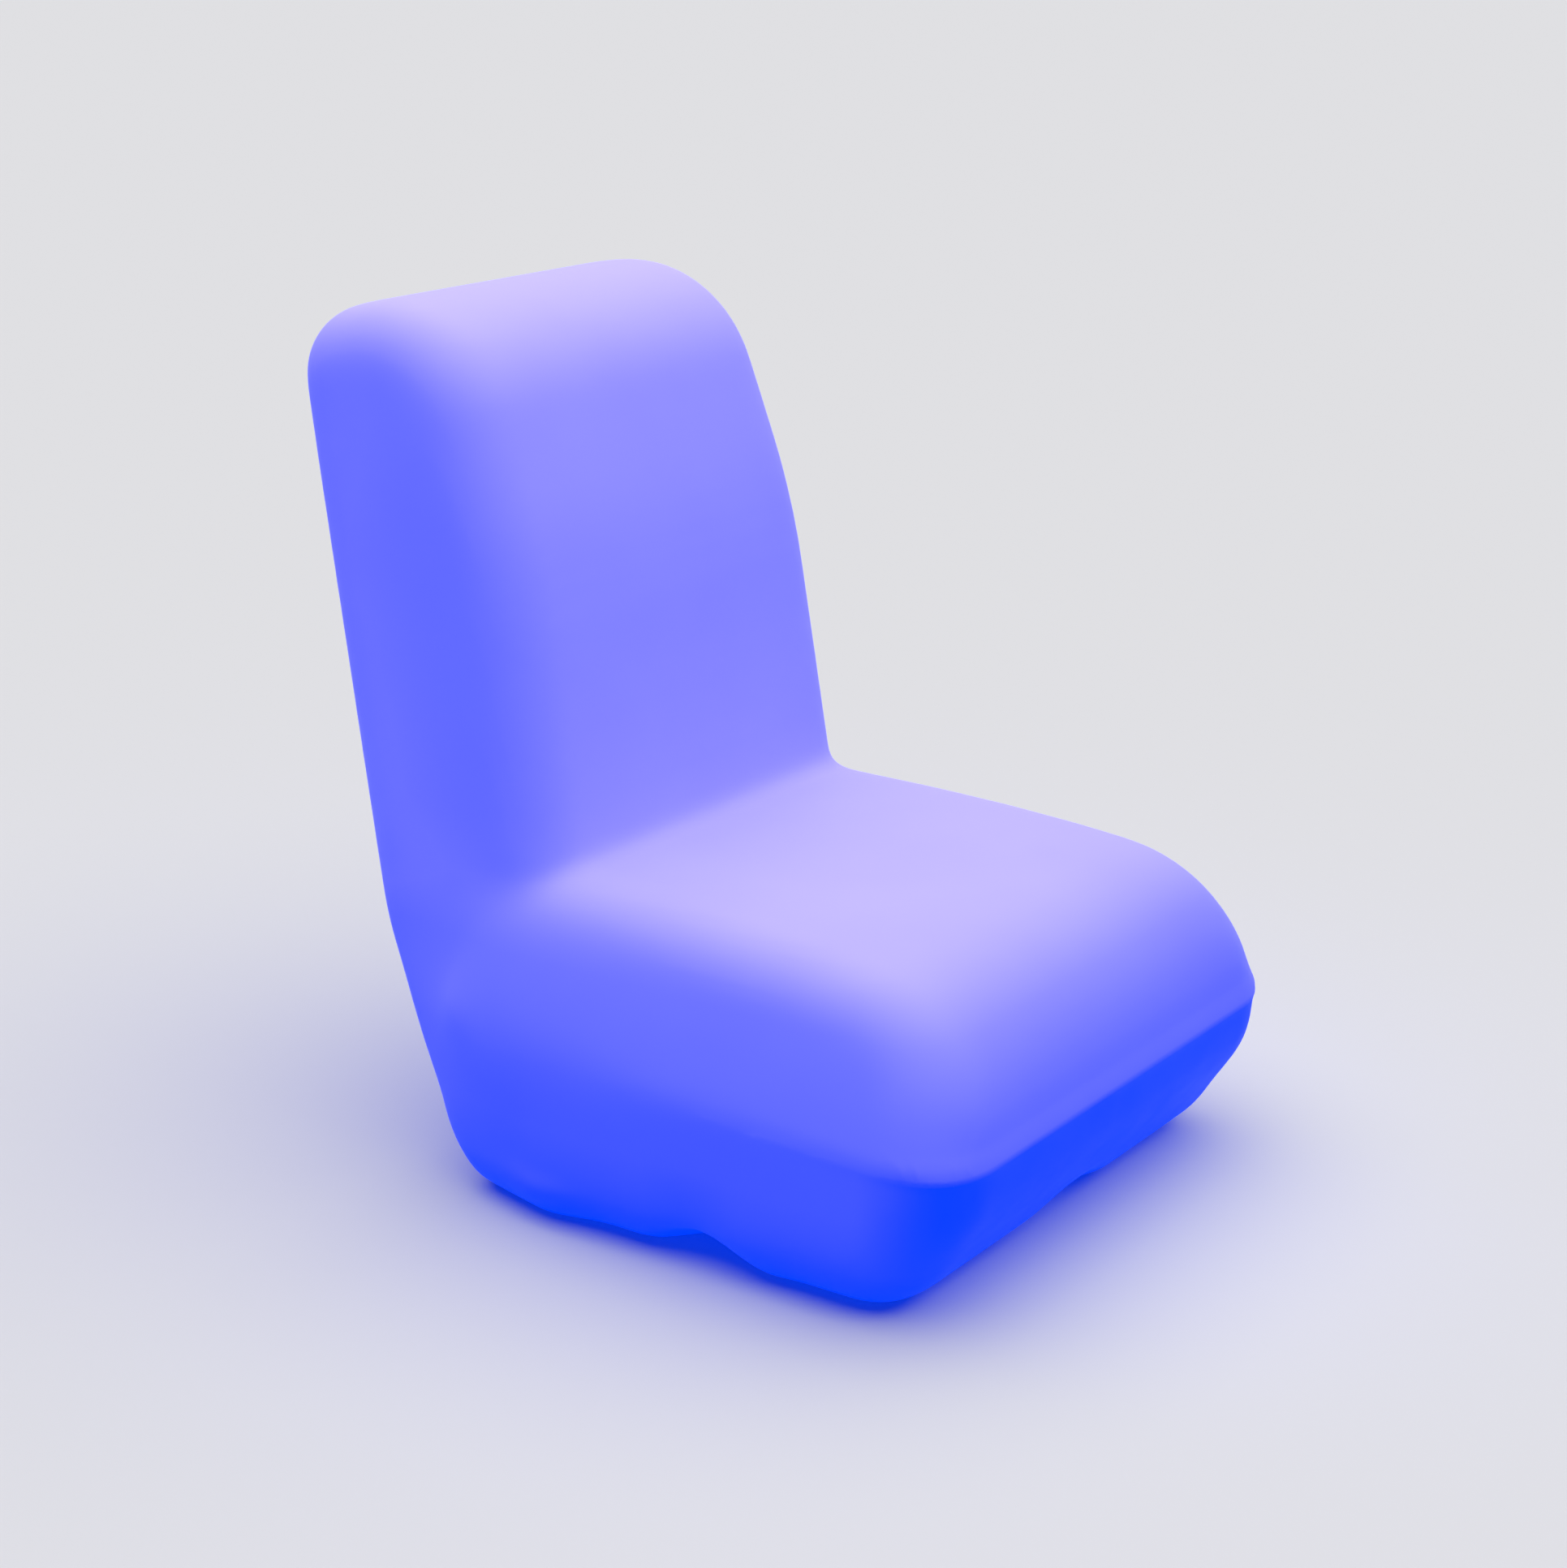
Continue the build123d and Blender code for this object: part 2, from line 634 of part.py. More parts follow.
def door_pocket():
    """Room in the cover's underside for the charging door and its hinge."""
    near = DOOR_AXIS_Y - DOOR_Y - DOOR_FIT
    far = DOOR_AXIS_Y + KNUCKLE_R + DOOR_FIT
    return bar(DOOR_X + 2 * DOOR_FIT, far - near, COVER_Z, COVER_Z + DOOR_POCKET, SOCKET_X, (near + far) / 2)


def socket_opening(fit, low, high):
    """Rounded slot for the charging plug."""
    slot = SlotOverall(SOCKET_WIDE + 2 * fit, SOCKET_DEEP + 2 * fit)
    return Pos(SOCKET_X, CONTROL_AT, low) * extrude(slot, amount=high - low)


def make_unit_cover():
    """Lower cup of the light unit, with the button hole, the charging pocket and a coin slot."""
    inner_r = UNIT_R - COVER_T
    cover = rod(UNIT_R, COVER_Z, FLANGE_Z)
    cover = chamfer(cover.edges().group_by(Axis.Z)[0], COVER_T / 2)
    cover -= rod(inner_r, FLOOR_Z, COVER_LIP_Z)
    cover -= rod(UNIT_R - COVER_LIP_WIDTH, COVER_LIP_Z, FLANGE_Z)
    for x, y in join_places():
        cover += rod(JOIN_POST_R, FLOOR_Z, JOIN_SPLIT_Z, x, y)
        cover -= rod(JOIN_HEAD_R + SCREW_FIT, COVER_Z, COVER_Z + JOIN_HEAD_SUNK + JOIN_HEAD_T, x, y)
        cover -= rod(JOIN_SCREW_R + SCREW_FIT, COVER_Z, JOIN_SPLIT_Z, x, y)
    for x, y in control_post_places():
        cover += rod(CONTROL_POST_R, FLOOR_Z, CONTROL_Z, x, y)
    boss_x = DOOR_X + 2 * PIN_HOLD + 2 * DOOR_BOSS_MARGIN
    boss_y = DOOR_Y + 2 * DOOR_BOSS_MARGIN
    boss_at = DOOR_AXIS_Y - DOOR_Y / 2
    cover += bar(boss_x, boss_y, FLOOR_Z, FLOOR_Z + DOOR_BOSS, SOCKET_X, boss_at)
    cover -= door_pocket()
    cover -= socket_opening(SOCKET_FIT, COVER_Z, FLOOR_Z + DOOR_BOSS)
    cover -= hinge_rod(PIN_R + PIN_FIT / 2, DOOR_X / 2 + DOOR_FIT + PIN_HOLD)
    cover -= rod(BUTTON_R + BUTTON_FIT, COVER_Z, FLOOR_Z, BUTTON_X, CONTROL_AT)
    cover -= rod(PIPE_R + PIPE_FIT, COVER_Z, FLOOR_Z, PIPE_X, CONTROL_AT)
    length, width, depth = COIN_SLOT
    cover -= bar(length, width, COVER_Z, COVER_Z + depth, 0, BATTERY_Y)
    return in_unit(cover)


def make_unit_chassis():
    """Upper part of the light unit: flange, neck with three lugs, and the deck that carries the lights."""
    chassis = ring(NECK_R - NECK_T, FLANGE_R, FLANGE_Z, SEAL_Z)
    chassis += ring(NECK_R - NECK_T, NECK_R, SEAL_Z, DECK_TOP)
    chassis += rod(NECK_R, DECK_Z, DECK_TOP)
    for i in range(LUGS):
        start = i * 360.0 / LUGS - LUG_ANGLE / 2
        chassis += sector(NECK_R - NECK_T / 2, LUG_R, LUG_Z, LUG_Z + LUG_T, start, LUG_ANGLE)
    tip = COVER_Z + JOIN_HEAD_SUNK + JOIN_SCREW_LENGTH
    for x, y in join_places():
        chassis += rod(JOIN_POST_R, JOIN_SPLIT_Z, DECK_Z, x, y)
        chassis -= rod(JOIN_SCREW_R + SCREW_FIT, JOIN_SPLIT_Z, tip, x, y)
    for x, y in around(BOARD_SCREWS, BOARD_SCREW_CIRCLE_R, 90.0):
        chassis -= rod(BOARD_SCREW_R + SCREW_FIT, DECK_Z, DECK_TOP, x, y)
    for x, y in lead_hole_places():
        chassis -= rod(LEAD_R + LEAD_HOLE_FIT, DECK_Z, DECK_TOP, x, y)
    return in_unit(chassis)


def make_join_screws():
    """Long screws from the cover up into the chassis."""
    low = COVER_Z + JOIN_HEAD_SUNK
    one = screw(JOIN_SCREW_R, JOIN_HEAD_R, low, low + JOIN_HEAD_T, low + JOIN_SCREW_LENGTH)
    return [in_unit(Pos(x, y, 0) * one) for x, y in join_places()]


def make_unit_seal():
    """Soft ring on the flange that seals against the collar."""
    return in_unit(ring(SEAL_IN_R, SEAL_OUT_R, SEAL_Z, COLLAR_Z))


def make_light_board():
    """Round metal-core board on the deck."""
    board = rod(BOARD_R, DECK_TOP, BOARD_TOP)
    for x, y in around(BOARD_SCREWS, BOARD_SCREW_CIRCLE_R, 90.0):
        board -= rod(BOARD_SCREW_R + SCREW_FIT, DECK_TOP, BOARD_TOP, x, y)
    for x, y in lead_hole_places():
        board -= rod(LEAD_R + LEAD_HOLE_FIT, DECK_TOP, BOARD_TOP, x, y)
    return in_unit(board)


def make_lights():
    """Square light packages in rings on the board."""
    lights = []
    for count, radius in ((INNER_LIGHTS, INNER_LIGHTS_R), (OUTER_LIGHTS, OUTER_LIGHTS_R)):
        for i in range(count):
            turn = 360.0 * (i + 0.5) / count
            one = bar(LIGHT_SIZE, LIGHT_SIZE, BOARD_TOP, BOARD_TOP + LIGHT_T)
            lights.append(in_unit(Rot(0, 0, turn) * Pos(radius, 0, 0) * one))
    return lights


def make_board_screws():
    """Small screws that clamp the light board to the deck."""
    head = screw(BOARD_SCREW_R, BOARD_HEAD_R, 0, BOARD_HEAD_T, BOARD_HEAD_T + BOARD_SCREW_LENGTH)
    one = Pos(0, 0, BOARD_TOP + BOARD_HEAD_T) * Rot(180, 0, 0) * head
    return [in_unit(Pos(x, y, 0) * one) for x, y in around(BOARD_SCREWS, BOARD_SCREW_CIRCLE_R, 90.0)]


def dome_form(radius, rise):
    """A solid dome on the deck: a straight skirt and a round top."""
    shoulder = DECK_TOP + DOME_SKIRT
    ball_r = (radius**2 + rise**2) / (2 * rise)
    ball = Pos(0, 0, shoulder + rise - ball_r) * Sphere(ball_r)
    return rod(radius, DECK_TOP, shoulder + rise) & ball


def make_dome():
    """Milky dome over the lights, standing on the rim of the deck."""
    return in_unit(dome_form(DOME_R, DOME_RISE) - dome_form(DOME_R - DOME_T, DOME_RISE - DOME_T))


# Battery


def cell_places():
    """Where the two cells lie across the unit, and their height."""
    half = CELL_R + CELL_GAP / 2
    return [BATTERY_Y - half, BATTERY_Y + half], FLOOR_Z + TRAY_T + CELL_FIT + CELL_R


def lying_rod(radius, length, y, z):
    """A cylinder along X."""
    return Pos(0, y, z) * Cylinder(radius, length, rotation=(0, 90, 0))


def make_battery_cells():
    """Two round cells, each with a raised contact."""
    places, z = cell_places()
    cells = []
    for y in places:
        tip = Pos((CELL_LENGTH + CELL_TIP) / 2, 0, 0) * lying_rod(CELL_TIP_R, CELL_TIP, y, z)
        cells.append(in_unit(lying_rod(CELL_R, CELL_LENGTH, y, z) + tip))
    return cells


def tray_size():
    """Outer length and width of the battery tray."""
    length = CELL_LENGTH + 2 * (CELL_TIP + CELL_FIT + TRAY_WALL)
    width = 4 * CELL_R + CELL_GAP + 2 * (CELL_FIT + TRAY_WALL)
    return length, width


def make_battery_tray():
    """Open tray on the floor of the cover that cradles the cells."""
    length, width = tray_size()
    places, z = cell_places()
    tray = bar(length, width, FLOOR_Z, FLOOR_Z + TRAY_T + TRAY_DEPTH, 0, BATTERY_Y)
    room = CELL_LENGTH + 2 * (CELL_TIP + CELL_FIT)
    for y in places:
        tray -= lying_rod(CELL_R + CELL_FIT, room, y, z)
    return in_unit(tray)


def make_battery_straps():
    """Two bands over the cells, standing on the edges of the tray."""
    places, z = cell_places()
    foot = FLOOR_Z + TRAY_T + TRAY_DEPTH

    def over(radius):
        circles = [Pos(y, z) * Circle(radius) for y in places]
        face = make_hull([e for c in circles for e in c.edges()])
        return extrude(Plane.YZ * face, amount=STRAP_WIDTH / 2, both=True)

    band = over(CELL_R + CELL_FIT + STRAP_T) - over(CELL_R + CELL_FIT)
    band -= bar(2 * STRAP_WIDTH, 8 * CELL_R, 0, foot, 0, BATTERY_Y)
    return [in_unit(Pos(x, 0, 0) * band) for x in (-STRAP_X, STRAP_X)]


# Control board, button and charging


def make_control_board():
    """Board on four posts above the button and the socket."""
    return in_unit(bar(CONTROL_X, CONTROL_Y, CONTROL_Z, CONTROL_TOP, 0, CONTROL_AT))


def make_control_chips():
    """Controller, driver and inductor on top of the board."""
    chips = []
    for (size_x, size_y, tall), (x, y) in zip(CHIP_SIZES, CHIP_PLACES):
        chips.append(in_unit(bar(size_x, size_y, CONTROL_TOP, CONTROL_TOP + tall, x, CONTROL_AT + y)))
    return chips


def button_flange_z():
    """Underside of the button's flange, just above the cover's floor."""
    return FLOOR_Z + BUTTON_FIT


def plunger_top():
    """Top of the button's plunger at rest."""
    return CONTROL_Z - SWITCH_T - PLUNGER_GAP


def make_power_button():
    """Push button that drops through the cover, kept in by its flange."""
    flange_z = button_flange_z()
    flange_top = flange_z + BUTTON_FLANGE_T
    button = rod(BUTTON_R, COVER_Z - BUTTON_PROUD, flange_z)
    button = fillet(button.edges().group_by(Axis.Z)[0], BUTTON_PROUD / 2)
    button += rod(BUTTON_FLANGE_R, flange_z, flange_top)
    button += rod(PLUNGER_R, flange_top, plunger_top())
    return in_unit(Pos(BUTTON_X, CONTROL_AT, 0) * button)


def make_switch_stem():
    """Sprung stem of the switch, which rides on the button."""
    stem = rod(STEM_R, plunger_top(), CONTROL_Z - SWITCH_T + STEM_REACH, BUTTON_X, CONTROL_AT)
    return in_unit(stem)


def make_switch():
    """Body of the switch under the control board, with a hole for its stem."""
    low = CONTROL_Z - SWITCH_T
    body = bar(SWITCH_SIZE, SWITCH_SIZE, low, CONTROL_Z, BUTTON_X, CONTROL_AT)
    hole_top = low + STEM_REACH + BUTTON_TRAVEL + BUTTON_FIT
    return in_unit(body - rod(STEM_R + STEM_FIT, low, hole_top, BUTTON_X, CONTROL_AT))


def make_charge_socket():
    """Upright charging socket, open downwards, with a flat tongue inside."""
    low = FLOOR_Z + DOOR_BOSS
    socket = socket_opening(0, low, CONTROL_Z) - socket_opening(-SOCKET_WALL, low, CONTROL_Z - SOCKET_WALL)
    tongue = bar(TONGUE_WIDE, TONGUE_T, low + SOCKET_WALL, CONTROL_Z, SOCKET_X, CONTROL_AT)
    return in_unit(socket + tongue)


def hinge_rod(radius, half_length):
    """A cylinder on the charging door's hinge axis."""
    rod_shape = Cylinder(radius, 2 * half_length, rotation=(0, 90, 0))
    return Pos(SOCKET_X, DOOR_AXIS_Y, DOOR_AXIS_Z) * rod_shape


def make_charge_door():
    """Small flush door over the socket, with a knuckle along its rear edge and a finger notch."""
    door = bar(DOOR_X, DOOR_Y, COVER_Z, COVER_Z + DOOR_T, SOCKET_X, DOOR_AXIS_Y - DOOR_Y / 2)
    door += hinge_rod(KNUCKLE_R, DOOR_X / 2)
    door -= hinge_rod(PIN_R + PIN_FIT, DOOR_X)
    tab_y = DOOR_AXIS_Y - DOOR_Y
    door -= bar(DOOR_TAB, DOOR_T, COVER_Z, COVER_Z + DOOR_T / 2, SOCKET_X, tab_y)
    return in_unit(door)


def make_door_seal():
    """Rubber plug on the inside of the door that fills the plug opening."""
    low = COVER_Z + DOOR_T
    return in_unit(socket_opening(-DOOR_SEAL_FIT, low, low + DOOR_SEAL_T))


def make_door_pin():
    """Steel hinge pin, held in the cover on both sides of the door."""
    return in_unit(hinge_rod(PIN_R, DOOR_X / 2 + DOOR_FIT + PIN_HOLD))


def make_light_pipe():
    """Clear pipe that shows the charge light under the cover."""
    tip = CONTROL_Z - CHARGE_LIGHT[2] - CHARGE_LIGHT_GAP
    pipe = rod(PIPE_R, COVER_Z, tip) + rod(PIPE_FLANGE_R, FLOOR_Z, FLOOR_Z + PIPE_FLANGE_T)
    return in_unit(Pos(PIPE_X, CONTROL_AT, 0) * pipe)


def make_charge_light():
    """Tiny light on the underside of the control board."""
    size_x, size_y, tall = CHARGE_LIGHT
    return in_unit(bar(size_x, size_y, CONTROL_Z - tall, CONTROL_Z, PIPE_X, CONTROL_AT))


# Leads


def lead_hole_places():
    """Where the two light leads pass through the deck and the light board."""
    x = CONTROL_X / 2 - CONTROL_POST_INSET
    return [(x - LEAD_SPACING / 2, 0.0), (x + LEAD_SPACING / 2, 0.0)]


def lead(points, radii):
    """A round lead along straight runs and arcs."""
    path = FilletPolyline(*points, radius=radii)
    start = Plane(origin=path @ 0, z_dir=path % 0)
    return sweep(start * Circle(LEAD_R), path=path)


def make_light_leads():
    """Two leads from the control board up through the deck to the light board."""
    leads = []
    bend = 3 * LEAD_R
    low = CONTROL_TOP + LEAD_SEAT
    turn_z = (CONTROL_TOP + DECK_Z) / 2
    start_y = CONTROL_AT - CONTROL_Y / 2 + 2 * LEAD_SPACING
    for x, y in lead_hole_places():
        points = [(x, start_y, low), (x, start_y, turn_z), (x, y, turn_z), (x, y, BOARD_TOP)]
        leads.append(in_unit(lead(points, bend)))
    return leads


def make_battery_leads():
    """Two leads from the end of the battery tray to the control board."""
    leads = []
    bend = 3 * LEAD_R
    length, width = tray_size()
    turn_z = CONTROL_TOP + CELL_R
    end_y = CONTROL_AT - CONTROL_Y / 2 + 2 * LEAD_SPACING
    rim = FLOOR_Z + TRAY_T + TRAY_DEPTH + LEAD_SEAT
    for i in range(2):
        x = -CONTROL_X / 2 + (i + 0.5) * LEAD_SPACING
        y = BATTERY_Y + width / 2 - LEAD_R
        points = [(x, y, rim), (x, y, turn_z), (x, end_y, turn_z), (x, end_y, CONTROL_TOP + LEAD_SEAT)]
        leads.append(in_unit(lead(points, bend)))
    return leads


PIECES = {
    "shell": make_shell,
    "foot_pads": make_foot_pads,
    "foot_screws": make_foot_screws,
    "vent_plug": make_vent_plug,
    "lock_collar": make_lock_collar,
    "collar_seal": make_collar_seal,
    "collar_inserts": make_collar_inserts,
    "collar_screws": make_collar_screws,
    "unit_cover": make_unit_cover,
    "unit_chassis": make_unit_chassis,
    "join_screws": make_join_screws,
    "unit_seal": make_unit_seal,
    "light_board": make_light_board,
    "lights": make_lights,
    "board_screws": make_board_screws,
    "dome": make_dome,
    "battery_cells": make_battery_cells,
    "battery_tray": make_battery_tray,
    "battery_straps": make_battery_straps,
    "control_board": make_control_board,
    "control_chips": make_control_chips,
    "power_button": make_power_button,
    "switch_stem": make_switch_stem,
    "switch": make_switch,
    "charge_socket": make_charge_socket,
    "charge_door": make_charge_door,
    "door_seal": make_door_seal,
    "door_pin": make_door_pin,
    "light_pipe": make_light_pipe,
    "charge_light": make_charge_light,
    "light_leads": make_light_leads,
    "battery_leads": make_battery_leads,
}

os.makedirs("parts", exist_ok=True)
for name, make in PIECES.items():
    made = make()
    solids = made.solids() if not isinstance(made, list) else [s for one in made for s in one.solids()]
    export_step(Compound(solids) if len(solids) > 1 else solids[0], f"parts/{name}.step")
    print(name, len(solids), round(sum(s.volume for s in solids)))
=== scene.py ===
import json
import math

import bpy
from mathutils import Matrix, Vector

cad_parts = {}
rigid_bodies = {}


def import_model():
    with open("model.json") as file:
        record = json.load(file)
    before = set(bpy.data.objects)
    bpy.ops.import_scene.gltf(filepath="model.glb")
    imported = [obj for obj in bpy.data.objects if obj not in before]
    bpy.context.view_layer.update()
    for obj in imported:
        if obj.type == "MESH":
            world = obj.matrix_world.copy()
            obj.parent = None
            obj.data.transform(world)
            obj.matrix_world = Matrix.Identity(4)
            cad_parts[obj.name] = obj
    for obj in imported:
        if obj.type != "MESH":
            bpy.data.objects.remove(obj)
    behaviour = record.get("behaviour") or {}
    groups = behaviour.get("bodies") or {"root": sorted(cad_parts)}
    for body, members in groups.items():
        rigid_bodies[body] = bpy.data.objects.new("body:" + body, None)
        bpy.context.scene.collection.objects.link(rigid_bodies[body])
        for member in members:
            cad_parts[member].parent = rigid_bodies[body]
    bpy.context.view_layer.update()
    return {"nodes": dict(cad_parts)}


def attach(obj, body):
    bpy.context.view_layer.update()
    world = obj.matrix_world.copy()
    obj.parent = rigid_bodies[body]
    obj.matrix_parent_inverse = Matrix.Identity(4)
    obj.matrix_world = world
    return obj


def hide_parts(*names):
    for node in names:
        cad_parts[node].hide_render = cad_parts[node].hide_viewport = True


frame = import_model()

# Camera
# It stands where the photograph was taken from: in front of the seat, to its left and a little above it.
# A long lens keeps the photograph's flat perspective.
CAMERA_TURN = math.radians(-55.18)
CAMERA_RISE = math.radians(17.18)
CAMERA_DISTANCE = 2.4634
CAMERA_LENS = 70.71
CAMERA_SIDE = -0.0341
CAMERA_LIFT = -0.0346
MIDDLE_OF_SEAT = Vector((0.0, -0.0549, 0.3549))

camera_back = Vector((
    math.sin(CAMERA_TURN) * math.cos(CAMERA_RISE),
    -math.cos(CAMERA_TURN) * math.cos(CAMERA_RISE),
    math.sin(CAMERA_RISE),
))
camera_right = Vector((math.cos(CAMERA_TURN), math.sin(CAMERA_TURN), 0.0))
camera_up = camera_back.cross(camera_right)
camera_place = (
    MIDDLE_OF_SEAT
    + camera_back * CAMERA_DISTANCE
    + camera_right * CAMERA_SIDE
    + camera_up * CAMERA_LIFT
)
camera_axes = Matrix((camera_right, camera_up, camera_back)).transposed()
bpy.ops.object.camera_add()
camera = bpy.context.object
camera.matrix_world = Matrix.Translation(camera_place) @ camera_axes.to_4x4()
camera.data.sensor_fit = "VERTICAL"
camera.data.sensor_height = 36.0
camera.data.lens = CAMERA_LENS
bpy.context.scene.camera = camera
bpy.context.scene.view_settings.view_transform = "Standard"


# Floor and studio light
# A pale studio floor under one wide soft light from above, tipped a little to the front and the right.
# The floor looks pale but throws little light back up, so the feet keep the deep colour of the glow.
class Wire:
    """One output of a shader node. Sums and products of wires become Math nodes."""

    def __init__(self, tree, socket=None):
        self.tree = tree
        self.socket = socket

    def node(self, kind, inputs=None, output=0, stops=(), **settings):
        """Adds a node of any kind, sets it up, then fills or links its inputs, and gives one output."""
        made = self.tree.nodes.new("ShaderNode" + kind)
        for name, value in settings.items():
            setattr(made, name, value)
        for number, (place, colour) in enumerate(stops):
            elements = made.color_ramp.elements
            element = elements[number] if number < len(elements) else elements.new(place)
            element.position = place
            element.color = (*colour, 1.0)
        for key, value in (inputs or {}).items():
            self.feed(made.inputs[key], value)
        return Wire(self.tree, made.outputs[output] if made.outputs else None)

    def feed(self, socket, value):
        """Links a wire to a socket, or sets the socket's own value."""
        if isinstance(value, Wire):
            self.tree.links.new(value.socket, socket)
        else:
            socket.default_value = value

    def mix(self, factor, one, other):
        """A colour between two colours."""
        one, other = ((*c, 1.0) if isinstance(c, tuple) else c for c in (one, other))
        return self.node("Mix", {"Factor": factor, 6: one, 7: other}, output=2, data_type="RGBA")

    def maths(self, operation, one, other):
        """A Math node on two values."""
        return self.node("Math", {0: one, 1: other}, operation=operation)

    def __add__(self, other):
        return self.maths("ADD", self, other)

    def __radd__(self, other):
        return self.maths("ADD", other, self)

    def __sub__(self, other):
        return self.maths("SUBTRACT", self, other)

    def __rsub__(self, other):
        return self.maths("SUBTRACT", other, self)

    def __mul__(self, other):
        return self.maths("MULTIPLY", self, other)

    def __rmul__(self, other):
        return self.maths("MULTIPLY", other, self)


def shows_stage(wires):
    """One for rays that look at the stage, nought for the light that the stage throws on the object."""
    kinds = ("Is Camera Ray", "Is Glossy Ray", "Is Transmission Ray")
    camera_ray, glossy_ray, through_ray = (wires.node("LightPath", output=kind) for kind in kinds)
    return wires.node("Clamp", {"Value": camera_ray + glossy_ray + through_ray})


FLOOR_SIZE = 80.0
FLOOR_COLOUR = (0.76, 0.76, 0.78)
FLOOR_THROWN_BACK = (0.07, 0.07, 0.09)
BACKDROP_COLOUR = (0.744, 0.745, 0.768)
AMBIENT_COLOUR = (0.03, 0.03, 0.035)
LIGHT_STRENGTH = 3.0
LIGHT_SPREAD = math.radians(100)
LIGHT_FROM = Vector((0.105, -0.05, 1.0))

bpy.ops.object.select_all(action="DESELECT")
bpy.ops.mesh.primitive_plane_add(size=FLOOR_SIZE)
floor = bpy.context.object
floor.name = "studio_floor"
floor_material = bpy.data.materials.new("studio_floor")
floor_material.use_nodes = True
floor_material.node_tree.nodes.clear()
wires = Wire(floor_material.node_tree)
floor_colour = wires.mix(shows_stage(wires), FLOOR_THROWN_BACK, FLOOR_COLOUR)
wires.node("OutputMaterial", {"Surface": wires.node("BsdfDiffuse", {"Color": floor_colour})})
floor.data.materials.append(floor_material)

studio = bpy.data.worlds.new("studio")
studio.use_nodes = True
studio.node_tree.nodes.clear()
wires = Wire(studio.node_tree)
backdrop_colour = wires.mix(shows_stage(wires), AMBIENT_COLOUR, BACKDROP_COLOUR)
wires.node("OutputWorld", {"Surface": wires.node("Background", {"Color": backdrop_colour})})
bpy.context.scene.world = studio

bpy.ops.object.light_add(type="SUN", rotation=LIGHT_FROM.to_track_quat("Z", "Y").to_euler())
overhead_light = bpy.context.object
overhead_light.name = "overhead_light"
overhead_light.data.energy = LIGHT_STRENGTH
overhead_light.data.angle = LIGHT_SPREAD

# Moulded shell
# One hollow piece of milky polyethylene, turned in a hot mould until its wall is even.
# So every edge is soft, and the light unit inside makes the whole wall glow.
# Its underside has a round well, four pad seats and a vent.
WELL_MIDDLE = Vector((0.0, -0.0703))
WELL_RADIUS = 0.103
WELL_DEPTH = 0.0305
PORT_RADIUS = 0.080
PORT_TOP = 0.060
PAD_SEAT_RADIUS = 0.0223
PAD_SEAT_DEPTH = 0.004
PAD_PLACES = [WELL_MIDDLE + Vector((x, y)) for x in (-0.165, 0.165) for y in (-0.120, 0.120)]
VENT_PLACE = WELL_MIDDLE + Vector((0.100, 0.115))
VENT_SEAT_RADIUS = 0.0091
VENT_SEAT_DEPTH = 0.004
UNDERSIDE = 0.0015
WALL = 0.005
SKIN_GRAIN = 0.005
SMOOTH_ANGLE = math.radians(40)


def edit(piece):
    """Opens one piece in edit mode, with nothing selected."""
    if bpy.context.mode != "OBJECT":
        bpy.ops.object.mode_set(mode="OBJECT")
    bpy.ops.object.select_all(action="DESELECT")
    piece.select_set(True)
    bpy.context.view_layer.objects.active = piece
    bpy.ops.object.mode_set(mode="EDIT")
    bpy.ops.mesh.select_mode(type="FACE")
    bpy.ops.mesh.select_all(action="DESELECT")


def close(piece):
    """Leaves edit mode and keeps the piece active."""
    bpy.ops.object.mode_set(mode="OBJECT")
    bpy.context.view_layer.objects.active = piece


def pick_faces(piece, test):
    """Selects the faces whose middle and normal pass a test."""
    bpy.ops.object.mode_set(mode="OBJECT")
    for face in piece.data.polygons:
        face.select = test(face.center, face.normal)
    bpy.ops.object.mode_set(mode="EDIT")


def finish_modifier(piece, kind, **settings):
    """Adds a modifier, sets it up and applies it."""
    bpy.ops.object.select_all(action="DESELECT")
    piece.select_set(True)
    bpy.context.view_layer.objects.active = piece
    modifier = piece.modifiers.new(kind.lower(), kind)
    for name, value in settings.items():
        setattr(modifier, name, value)
    bpy.ops.object.modifier_apply(modifier=modifier.name)


def join(pieces):
    """Joins pieces into the first of them."""
    bpy.ops.object.select_all(action="DESELECT")
    for piece in pieces:
        piece.select_set(True)
    bpy.context.view_layer.objects.active = pieces[0]
    bpy.ops.object.join()


def within(place, middle, radius):
    """True where a point lies in a circle, seen from below."""
    return (place.xy - middle).length < radius


def in_recess(place, normal):
    """True on the faces of the well, the pad seats and the vent."""
    slack = 0.0003
    if place.z < UNDERSIDE + slack / 2 or place.z > PORT_TOP:
        return False
    if within(place, WELL_MIDDLE, WELL_RADIUS + slack):
        return True
    if within(place, VENT_PLACE, VENT_SEAT_RADIUS + slack):
        return True
    return any(within(place, middle, PAD_SEAT_RADIUS + slack) for middle in PAD_PLACES)


def rise(value, low, high):
    """A smooth step from nought at low to one at high."""
    share = min(max((value - low) / (high - low), 0.0), 1.0)
    return share * share * (3.0 - 2.0 * share)


def soften(piece, weight, repeats):
    """Smooths a piece as much as a weight says at each place."""
    group = piece.vertex_groups.new(name=weight.__name__)
    for vertex in piece.data.vertices:
        amount = weight(abs(vertex.co.x), vertex.co.y, vertex.co.z, vertex.normal)
        if amount > 0.0:
            group.add([vertex.index], amount, "REPLACE")
    finish_modifier(piece, "SMOOTH", factor=0.5, iterations=repeats, vertex_group=group.name)
    piece.vertex_groups.clear()


